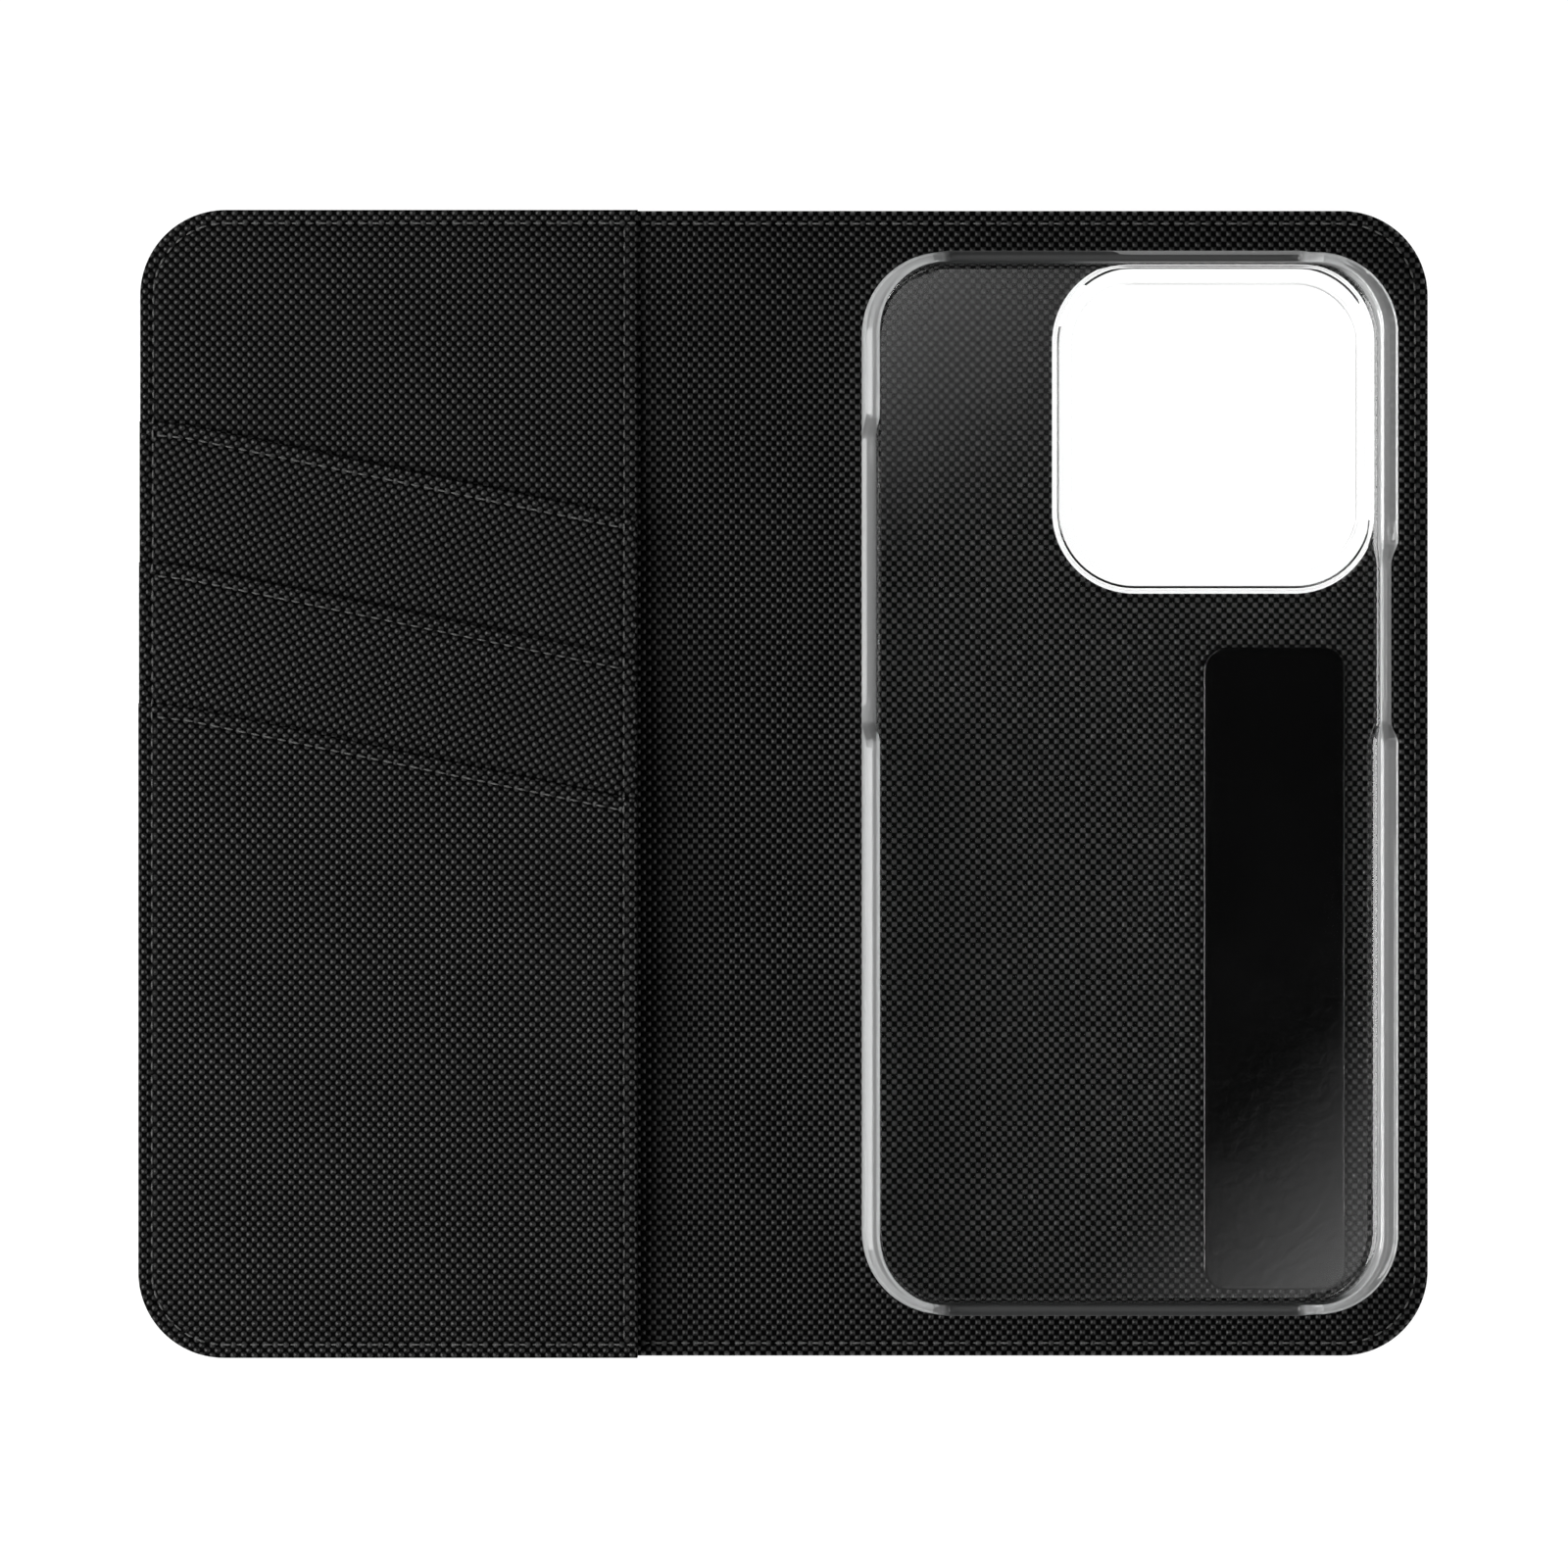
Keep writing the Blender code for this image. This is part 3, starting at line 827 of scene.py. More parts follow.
def register(
    piece: bpy.types.Object, nodes: Sequence[str] = (), body: Optional[str] = None
) -> None:
    """Hide the CAD pieces that a piece replaces, put it on its body, and log it.

    Args:
        piece: The piece.
        nodes: The CAD pieces that it replaces.
        body: The body that it rides on, or None for a piece on no body.
    """
    if nodes:
        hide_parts(*nodes)
    if body:
        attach(piece, body)
    LOG.info("%s made", piece.name)


# Sizes read from the frame


class Side(Enum):
    """A side of the spine, as the sign of x there."""

    FRONT = -1
    BACK = 1


@dataclass(frozen=True)
class CaseSizes:
    """The places that several sub-assemblies share.

    Attributes:
        half_width: From the spine's middle to a cover's free edge.
        half_height: From the middle to the cover's top.
        top: The lining's upper face.
        fold: The x of the fold beside the back cover.
        wallet_edge: The x of the wallet panel's folded edge.
        corner: The radius of the cover's free corners.
        seam_inset: The perimeter seam's distance from the edge.
    """

    half_width: float
    half_height: float
    top: float
    fold: float
    wallet_edge: float
    corner: float = 12.2 * MM
    seam_inset: float = 1.9 * MM

    @classmethod
    def from_frame(cls) -> "CaseSizes":
        """Read the shared places from the CAD pieces and joints."""
        skin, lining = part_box("outer_skin_back")[1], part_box("lining_back")[1]
        folds = {joint["name"]: joint["pos_m"][0] for joint in frame["joints"]}
        return cls(skin[0], skin[1], lining[2], folds["spine_fold"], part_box("wallet_panel")[1][0])


@dataclass(frozen=True)
class EdgeForm:
    """How a sheet's surface drops at its edge and along its seam.

    Attributes:
        roll: How far from the edge the surface starts to turn down.
        drop: How far it has dropped at the edge.
        groove: The seam groove's distance from the edge, or 0 for no groove.
        groove_depth: How deep the thread is pulled in.
        groove_half: Half of the groove's width.
    """

    roll: float
    drop: float
    groove: float = 0.0
    groove_depth: float = 0.32 * MM
    groove_half: float = 0.58 * MM

    def rolled(self, distance: Array) -> Array:
        """How far the rounded edge has dropped, at distances from the edge."""
        t = np.clip(1 - distance / self.roll, 0, 1)
        return self.drop * (1 - np.sqrt(np.clip(1 - t * t, 0, 1)))

    def sewn(self, distance: Array) -> Array:
        """How far the seam has pulled the surface in, at distances from the edge.

        Args:
            distance: The distances.

        Returns:
            The depth at each distance.
        """
        if not self.groove:
            return np.zeros_like(distance)
        t = np.clip(1 - np.abs(distance - self.groove) / self.groove_half, 0, 1)
        return self.groove_depth * t * t * (3 - 2 * t)

    def insets(self) -> list[float]:
        """Where rows of points are needed, from the edge inward.

        Returns:
            Each row's distance from the edge.
        """
        rows = [self.roll * (1 - cosine) for _, cosine in quarter(5)]
        rows.append(self.roll + 0.12 * MM)
        if self.groove:
            shares = (-1.0, -0.66, -0.33, 0.0, 0.33, 0.66, 1.0)
            rows += [self.groove + share * self.groove_half for share in shares]
            rows.append(self.groove + 2 * self.groove_half)
        return rows


def no_lift(points: Array) -> Array:
    """No extra height, for a sheet that lies flat."""
    return np.zeros(len(points))


@dataclass
class Sheet:
    """One sheet of the case as a height over the flat page.

    Attributes:
        outline: The sheet's flat shape.
        level: The height of its visible face.
        form: Its finished edges.
        hole_form: Its holes' edges.
        lift: Extra height over the page.
        facing: 1 if its visible face looks up, and -1 if it looks down.
    """

    outline: Outline
    level: float
    form: EdgeForm
    hole_form: Optional[EdgeForm] = None
    lift: Callable[[Array], Array] = no_lift
    facing: int = 1

    def height(self, points: Array) -> Array:
        """The height of the visible face at places on the page.

        Args:
            points: The places.

        Returns:
            A height for each place.
        """
        distance = self.outline.edge_distance(points)
        down = self.form.rolled(distance) + self.form.sewn(distance)
        if self.outline.holes and self.hole_form:
            down = np.maximum(down, self.hole_form.rolled(self.outline.hole_distance(points)))
        return self.level - self.facing * down + self.lift(points)

    def build(
        self, name: str, thickness: float, material: bpy.types.Material, columns: Array, rows: Array,
        turn: float = 0.0,
    ) -> bpy.types.Object:
        """Make the sheet as a closed mesh.

        Args:
            name: The piece's name.
            thickness: The sheet's thickness.
            material: Its finish.
            columns: The x places of the points between its edges.
            rows: The y places of the points between its edges.
            turn: How far its grain is turned, in degrees.

        Returns:
            The finished piece.
        """
        places, triangles = self.outline.triangulate(self.form.insets(), columns, rows)
        heights = self.height(places)
        mesh = bpy.data.meshes.new(name)
        mesh.from_pydata(np.column_stack([places, heights]).tolist(), [], triangles)
        work = bmesh.new()
        work.from_mesh(mesh)
        for face in work.faces:
            if face.normal.z * self.facing < 0:
                face.normal_flip()
        work.to_mesh(mesh)
        work.free()
        set_flat_uv(mesh, places, turn)
        piece = new_object(name, mesh, material)
        thicken(piece, thickness)
        return piece


# Seams


@dataclass(frozen=True)
class Seam:
    """A row of separate stitches along a path.

    Attributes:
        stitch: The length of a stitch.
        gap: The space between two stitches.
        radius: The thread's radius.
        crown: How far a stitch's middle stands above the groove's bottom.
        dip: How far its ends go into the sheet.
        taper: The share of the thread's radius that is left at a stitch's ends.
        sides: The number of sides of the thread's section.
    """

    stitch: float = 1.45 * MM
    gap: float = 0.47 * MM
    radius: float = 0.15 * MM
    crown: float = 0.12 * MM
    dip: float = 0.2 * MM
    taper: float = 0.35
    sides: int = 8

    def build(
        self, name: str, path: Sequence[Point], height: Callable[[Array], Array], facing: int,
        material: bpy.types.Material,
    ) -> bpy.types.Object:
        """Make the stitches.

        Args:
            name: The piece's name.
            path: The seam's line on the page.
            height: The height of the surface that it is sewn into.
            facing: 1 on the inner side of the case, and -1 on its outer side.
            material: The thread's finish.

        Returns:
            The seam, with all its stitches.
        """
        line = np.array(walk(path, 0.2 * MM))
        along = np.concatenate([[0], np.cumsum(np.linalg.norm(np.diff(line, axis=0), axis=1))])
        count = max(1, round((along[-1] + self.gap) / (self.stitch + self.gap)))
        pitch = (along[-1] + self.gap) / count
        rings = np.linspace(0, 1, 9)
        starts = np.arange(count) * pitch
        at = starts[:, None] + rings[None, :] * (pitch - self.gap)
        x, y = np.interp(at, along, line[:, 0]), np.interp(at, along, line[:, 1])
        surface = height(np.stack([x.ravel(), y.ravel()], axis=1)).reshape(x.shape)
        smoothed = 0.5 * surface + 0.5 * (surface[:, :1] + (surface[:, -1:] - surface[:, :1]) * rings)
        arch = np.sin(math.pi * rings) ** 0.55
        z = smoothed + facing * (self.crown * arch - self.dip * (1 - arch))
        girth = self.radius * (self.taper + (1 - self.taper) * np.sin(math.pi * rings) ** 2)
        return self._tubes(name, np.stack([x, y, z], axis=2), girth, at, material)

    def _tubes(
        self, name: str, centres: Array, girth: Array, along: Array, material: bpy.types.Material
    ) -> bpy.types.Object:
        """Make a closed tube round each stitch's own centre line.

        Args:
            name: The piece's name.
            centres: Each stitch's line of centres.
            girth: The tube's radius at each of them.
            along: Their distances along the seam.
            material: The thread's finish.

        Returns:
            The seam.
        """
        mesh, work = bpy.data.meshes.new(name), bmesh.new()
        layer = work.loops.layers.uv.new(FLAT_UV)
        angles = [2 * math.pi * i / self.sides for i in range(self.sides)]
        for line, distances in zip(centres, along):
            direction = np.gradient(line, axis=0)
            rings = []
            for centre, heading, radius in zip(line, direction, girth):
                side = Vector((-heading[1], heading[0], 0.0)).normalized()
                up = side.cross(Vector(heading)).normalized()
                up = up if up.z > 0 else -up
                ring = [Vector(centre) + (side * math.cos(a) + up * math.sin(a)) * radius for a in angles]
                rings.append([work.verts.new(p) for p in ring])
            for r, (first, second) in enumerate(zip(rings, rings[1:])):
                for i in range(self.sides):
                    j = (i + 1) % self.sides
                    face = work.faces.new((first[i], first[j], second[j], second[i]))
                    girths = (i, i + 1, i + 1, i)
                    ends = (r, r, r + 1, r + 1)
                    for loop, turn, end in zip(face.loops, girths, ends):
                        loop[layer].uv = (distances[end], turn / self.sides)
            work.faces.new(list(reversed(rings[0])))
            work.faces.new(rings[-1])
        bmesh.ops.recalc_face_normals(work, faces=work.faces)
        work.to_mesh(mesh)
        work.free()
        smooth(mesh, 60.0)
        return new_object(name, mesh, material)


# The cover


def stations(low: float, high: float, coarse: float, bands: Sequence[Point], fine: float) -> Array:
    """Places along a line, closer together within some bands.

    Args:
        low: The first place.
        high: The last place.
        coarse: The step outside the bands.
        bands: The bands, each as its two ends.
        fine: The step inside the bands.

    Returns:
        The places, in order.
    """
    places = [low]
    while places[-1] < high - 1e-9:
        here = places[-1]
        in_band = any(a - 1e-9 <= here < b - 1e-9 for a, b in bands)
        step = fine if in_band else coarse
        ahead = [a for a, _ in bands if here + 1e-9 < a < here + step]
        places.append(min([here + step, high] + ahead))
    return np.array(places)


@dataclass
class Cover:
    """The folio's outer skin and lining, each made as two halves that meet at the spine's middle.

    Attributes:
        sizes: The shared places.
        bend: How far the fold's band reaches on each side of a fold.
        skin_thickness: The outer sheet's thickness.
        lining_thickness: The inner sheet's thickness.
        crease: How deep the outer skin's crease is.
        hole_fit: The room between the camera collar and the hole's edge.
        hole_size: The hole's width and length in the flat sheet, which its area leaves out.
    """

    sizes: CaseSizes
    bend: float = 4.5 * MM
    skin_thickness: float = 0.55 * MM
    lining_thickness: float = 0.5 * MM
    crease: float = 0.12 * MM
    hole_fit: float = 0.25 * MM
    hole_size: Point = (46.4 * MM, 47.6 * MM)

    def columns(self) -> Array:
        """The x places of a half cover's points, closer together across the fold."""
        fold = (self.sizes.fold - self.bend, self.sizes.fold + self.bend)
        return stations(0.0, self.sizes.half_width, 3 * MM, [fold], 0.65 * MM)

    def rows(self) -> Array:
        """The y places of a cover's points."""
        return np.linspace(-self.sizes.half_height, self.sizes.half_height, 55)

    def outline(self, side: Side, holes: Sequence[Array] = ()) -> Outline:
        """Half of the opened cover, cut at the spine's middle.

        Args:
            side: Which half.
            holes: Any holes in it.

        Returns:
            The half's outline.
        """
        s = self.sizes
        w, h, r = s.half_width, s.half_height, s.corner
        straight = self.columns()
        straight = straight[straight < w - r - 1 * MM]
        bottom = [(x, -h) for x in straight]
        top = [(x, h) for x in straight[::-1]]
        right = arc((w - r, -h + r), r, 270, 360, 28) + arc((w - r, h - r), r, 0, 90, 28)
        loop = np.array(walk(bottom + right + top, 3 * MM, closed=True))
        if side is Side.FRONT:
            loop = (loop * (-1, 1))[::-1]
        return Outline(loop, lambda middle: np.abs(middle[:, 0]) < 1e-6, list(holes))

    def camera_hole(self) -> Array:
        """The edge of the hole that the camera collar passes through."""
        low, high = CameraCollar().box()
        fit = self.hole_fit
        return rounded_box(low - fit, high + fit, CameraCollar().outer_corner + fit, 1.5 * MM)

    def layer(self, side: Side, level: float, lift: Callable[[Array], Array], facing: int) -> Sheet:
        """One layer of a half cover, which turns in at its edges and meets the other layer.

        Args:
            side: Which half.
            level: The height of its visible face.
            lift: Its extra height.
            facing: 1 for the inner layer, and -1 for the outer one.

        Returns:
            The layer.
        """
        half = self.sizes.top / 2
        holes = [self.camera_hole()] if side is Side.BACK else []
        form = EdgeForm(half, half, self.sizes.seam_inset)
        return Sheet(self.outline(side, holes), level, form, EdgeForm(half, half), lift, facing)

    def lining(self, side: Side) -> Sheet:
        """The inner sheet on one side of the spine's middle."""
        return self.layer(side, self.sizes.top, no_lift, 1)

    def skin(self, side: Side) -> Sheet:
        """The outer sheet on one side of the spine's middle, with its crease at the fold.

        Args:
            side: Which half.

        Returns:
            The sheet.
        """

        def crease(points: Array) -> Array:
            """How far the crease is pressed in at places on the page."""
            off = np.abs(np.abs(points[:, 0]) - self.sizes.fold) / (0.35 * self.bend)
            return self.crease * np.clip(1 - off * off, 0, 1) ** 2

        return self.layer(side, 0.0, crease, -1)

    def bend_at_fold(self, piece: bpy.types.Object, side: Side) -> None:
        """Bake a half sheet's or its seam's place into its mesh. The fold's place is worked out, but
        nothing bends the piece.

        Args:
            piece: The piece.
            side: The half that it belongs to.
        """
        x = side.value * self.sizes.fold
        reach = side.value * self.bend
        start, end = (x - reach, 0.0, 0.0), (x + reach, 0.0, 0.0)
        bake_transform(piece)

    def perimeter(self, side: Side) -> list[Point]:
        """The seam's line round one half, from the spine's middle and back to it.

        Args:
            side: Which half.

        Returns:
            The line's points.
        """
        s = self.sizes
        x, y, r = s.half_width - s.seam_inset, s.half_height - s.seam_inset, s.corner - s.seam_inset
        corners = arc((x - r, -y + r), r, 270, 360) + arc((x - r, y - r), r, 0, 90)
        return [(side.value * px, py) for px, py in [(0.0, -y), *corners, (0.0, y)]]

    def build(self, leather: "Leathers", thread: bpy.types.Material) -> None:
        """Make both halves of the skin and of the lining, and the outer side's seams.

        Args:
            leather: The leathers.
            thread: The thread's finish.
        """
        for side in Side:
            word, back = side.name.lower(), side is Side.BACK
            columns = np.sort(side.value * self.columns())
            layers = (
                ("lining", "lining", self.lining(side), self.lining_thickness, leather.lining),
                ("outer", "outer_skin", self.skin(side), self.skin_thickness, leather.skin),
            )
            for kind, node, sheet, thickness, finish in layers:
                piece = sheet.build(f"{kind}_sheet_{word}", thickness, finish, columns, self.rows())
                register(piece, [f"{node}_{word}"] + [f"{node}_spine"] * back)
                self.bend_at_fold(piece, side)
            seam = Seam().build(
                f"outer_seam_{word}", self.perimeter(side), self.skin(side).height, -1, thread
            )
            register(seam)
            self.bend_at_fold(seam, side)


# The card wallet


@dataclass
class Wallet:
    """The wallet panel and its three card pockets on the front cover.

    Attributes:
        sizes: The shared places.
        cover: The cover under the wallet.
        panel_thickness: The thickness of each sheet.
        gape: How far the panel's folded edge stands open in the middle.
        gape_reach: How far the gape reaches from the folded edge.
        gape_length: The share of the edge's length that stands open.
        mouth_drop: How far a pocket's mouth falls towards the spine.
        mouth_line: The mouth's line, as shares of its span and of that fall.
        mouth_lift: How far a pocket's mouth stands open.
        grain_turn: How far the slanted pockets' grain is turned, in degrees.
        fill: The share of a sheet's rectangle that its slanted mouth and round corners leave.
        pockets: The pockets' CAD names, from the bottom of the stack up.
    """

    sizes: CaseSizes
    cover: Cover
    panel_thickness: float = 0.4 * MM
    gape: float = 2.0 * MM
    gape_reach: float = 20.0 * MM
    gape_length: float = 0.93
    mouth_drop: float = 13.7 * MM
    mouth_line: tuple[Point, ...] = (
        (0.0, 0.0), (0.05, 0.005), (0.1, 0.04), (0.965, 0.965), (1.0, 1.0)
    )
    mouth_lift: float = 0.5 * MM
    grain_turn: float = -11.3
    fill: float = 0.93
    pockets: tuple[str, ...] = ("card_pocket_upper", "card_pocket_middle", "card_pocket_lower")

    def panel_lift(self, points: Array) -> Array:
        """How far the wallet stands off the cover: most at the middle of its open edge.

        Args:
            points: Places on the page.

        Returns:
            The extra height at each place.
        """
        reach = self.gape_length * self.sizes.half_height
        along = np.clip(1 - (points[:, 1] / reach) ** 2, 0, 1)
        away = np.clip((self.sizes.wallet_edge - points[:, 0]) / self.gape_reach, 0, 1)
        return self.gape * along**1.5 * (1 - away) ** 2 * (1 + 2 * away)

    def mouth(self, name: str) -> list[Point]:
        """A pocket's mouth from the free edge to the wallet's folded edge.

        Args:
            name: The pocket's CAD name.

        Returns:
            The mouth's points.
        """
        left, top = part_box(name)[0][0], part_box(name)[1][1]
        right = self.sizes.wallet_edge
        span = right - left
        line = self.mouth_line
        return [(left + across * span, top - down * self.mouth_drop) for across, down in line]

    def mouth_height(self, name: str, x: Array) -> Array:
        """The y of a pocket's mouth at x."""
        line = np.array(self.mouth(name))
        return np.interp(x, line[:, 0], line[:, 1])

    def layer_outline(self, name: Optional[str], out: float) -> Outline:
        """The flat shape of the panel, or of a pocket.

        Args:
            name: The pocket's name, or None for the panel.
            out: How far the sheet stands out past the cover's free edge.

        Returns:
            The sheet's outline.
        """
        s = self.sizes
        left, low, r = -s.half_width - out, -s.half_height, s.corner
        points = arc((left + r, low + r), r, 180, 270, 28) + [(s.wallet_edge, low)]
        if name is None:
            points += [(s.wallet_edge, -low)] + arc((left + r, -low - r), r, 90, 180, 28)
        else:
            mouth = self.mouth(name)
            mouth[0] = (left, mouth[0][1])
            points += mouth[::-1]
        loop = np.array(walk(points, 2.5 * MM, closed=True))
        return Outline(loop)

    def layers(self) -> list[tuple[str, Sheet]]:
        """The panel and the pockets, from the bottom of the stack up.

        Returns:
            Each layer's CAD name and its sheet.
        """
        form = EdgeForm(0.34 * MM, 0.32 * MM, self.sizes.seam_inset)
        outline, level = self.layer_outline(None, 0.0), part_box("wallet_panel")[1][2]
        made = [("wallet_panel", Sheet(outline, level, form, lift=self.panel_lift))]
        for order, name in enumerate(self.pockets):
            outline = self.layer_outline(name, 0.02 * (order + 1) * MM)
            made.append((name, Sheet(outline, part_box(name)[1][2], form, lift=self.pocket_lift(name))))
        return made

    def pocket_lift(self, name: str) -> Callable[[Array], Array]:
        """How far a pocket stands off the cover, with its mouth slightly open.

        Args:
            name: The pocket's CAD name.

        Returns:
            Its lift as a function of places on the page.
        """

        def lift(points: Array) -> Array:
            """The pocket's extra height at places on the page."""
            s = self.sizes
            below = np.clip((self.mouth_height(name, points[:, 0]) - points[:, 1]) / (9 * MM), 0, 1)
            across = (points[:, 0] + s.half_width) / (s.wallet_edge + s.half_width)
            arch = np.clip(4 * across * (1 - across), 0, 1) ** 0.7
            opening = self.mouth_lift * (1.5 if name == self.pockets[0] else 1.0)
            return self.panel_lift(points) + opening * arch * (1 - below) ** 2

        return lift

    def surface(self, points: Array) -> Array:
        """The top of the front cover's stack at places on the page.

        Args:
            points: The places.

        Returns:
            A height for each place.
        """
        height = self.cover.lining(Side.FRONT).height(points)
        for _, sheet in self.layers():
            on = sheet.outline.contains(points)
            height = np.where(on, sheet.height(points), height)
        return height

    def build(self, leather: "Leathers", thread: bpy.types.Material) -> None:
        """Make the sheets and every seam of the front cover's inner side.

        Args:
            leather: The leathers.
            thread: The thread's finish.
        """
        s = self.sizes
        columns = np.arange(-s.half_width + 1.5 * MM, s.wallet_edge, 1.7 * MM)
        rows = np.linspace(-s.half_height, s.half_height, 80)
        for order, (name, sheet) in enumerate(self.layers()):
            turn = self.grain_turn if order in (1, 2) else 0.0
            piece = sheet.build(
                f"{name}_sheet", self.panel_thickness, leather.pocket, columns, rows, turn
            )
            register(piece, [name], "front")
            low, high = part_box(name)
            flat = (high[0] - low[0], high[1] - low[1])
            area = flat[0] * flat[1] * self.fill
        for name, node, path in self.seam_paths():
            seam = Seam().build(name, path, self.surface, 1, thread)
            register(seam, [node], "front")

    def seam_paths(self) -> list[tuple[str, str, list[Point]]]:
        """The seam beside the folded edge and the seams under the mouths.

        Returns:
            For each seam: its name, its CAD thread's name, and its line on the page.
        """
        s = self.sizes
        hem_x = s.wallet_edge - s.seam_inset
        room = s.seam_inset + 0.7 * MM
        end = s.half_height - room
        paths = [("panel_hem_seam", "stitch_wallet_panel", [(hem_x, end), (hem_x, -end)])]
        low = -s.half_width + room
        xs = [low, -s.half_width + 0.1 * (s.wallet_edge + s.half_width), hem_x - 0.7 * MM]
        below = s.seam_inset / math.cos(math.radians(self.grain_turn))
        for name in self.pockets:
            path = [(x, float(self.mouth_height(name, np.array(x))) - below) for x in xs]
            paths.append((f"{name}_seam", name.replace("card_pocket", "stitch_pocket"), path))
        return paths


# The clear shell and the pad


@dataclass(frozen=True)
class CameraCollar:
    """The clear collar round the camera opening, which hangs through the cover.

    Attributes:
        outer_corner: The radius of its outer corners.
        side_wall: Its thickness at the sides.
        end_wall: Its thickness at the ends.
        inner_corner: The radius of the opening's corners.
        from_side: From the shell's free side to the opening.
        from_end: From the shell's camera end to the opening.
        width: The opening's width.
        length: The opening's length.
    """

    outer_corner: float = 11.45 * MM
    side_wall: float = 2.45 * MM
    end_wall: float = 2.85 * MM
    inner_corner: float = 8.8 * MM
    from_side: float = 5.4 * MM
    from_end: float = 3.55 * MM
    width: float = 40.9 * MM
    length: float = 41.3 * MM

    def opening(self) -> tuple[Array, Array]:
        """The opening's lower and upper corners on the page."""
        high = np.array(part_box("clear_shell")[1][:2]) - (self.from_side, self.from_end)
        return high - (self.width, self.length), high

    def box(self) -> tuple[Array, Array]:
        """The collar's lower and upper corners on the page."""
        low, high = self.opening()
        wall = np.array((self.side_wall, self.end_wall))
        return low - wall, high + wall

    def ring(self, share: float) -> Array:
        """An outline between the collar's outer wall, at 0, and the opening, at 1.

        Args:
            share: Where it lies between them.

        Returns:
            The outline, with the same number of points for any share.
        """
        outer, inner = self.box(), self.opening()
        low = outer[0] + (inner[0] - outer[0]) * share
        high = outer[1] + (inner[1] - outer[1]) * share
        corner = self.outer_corner + (self.inner_corner - self.outer_corner) * share
        (x0, y0), (x1, y1), r = low, high, corner
        points: list[Sequence[float]] = []
        centres = [(x1 - r, y1 - r), (x0 + r, y1 - r), (x0 + r, y0 + r), (x1 - r, y0 + r)]
        for turn, centre in enumerate(centres):
            end = 90 * turn + 90
            points += arc(centre, r, end - 90, end, 16)
            ahead = arc(centres[(turn + 1) % 4], r, end, end, 1)[0]
            points += np.linspace(points[-1], ahead, 9)[1:-1].tolist()
        return np.array(points)


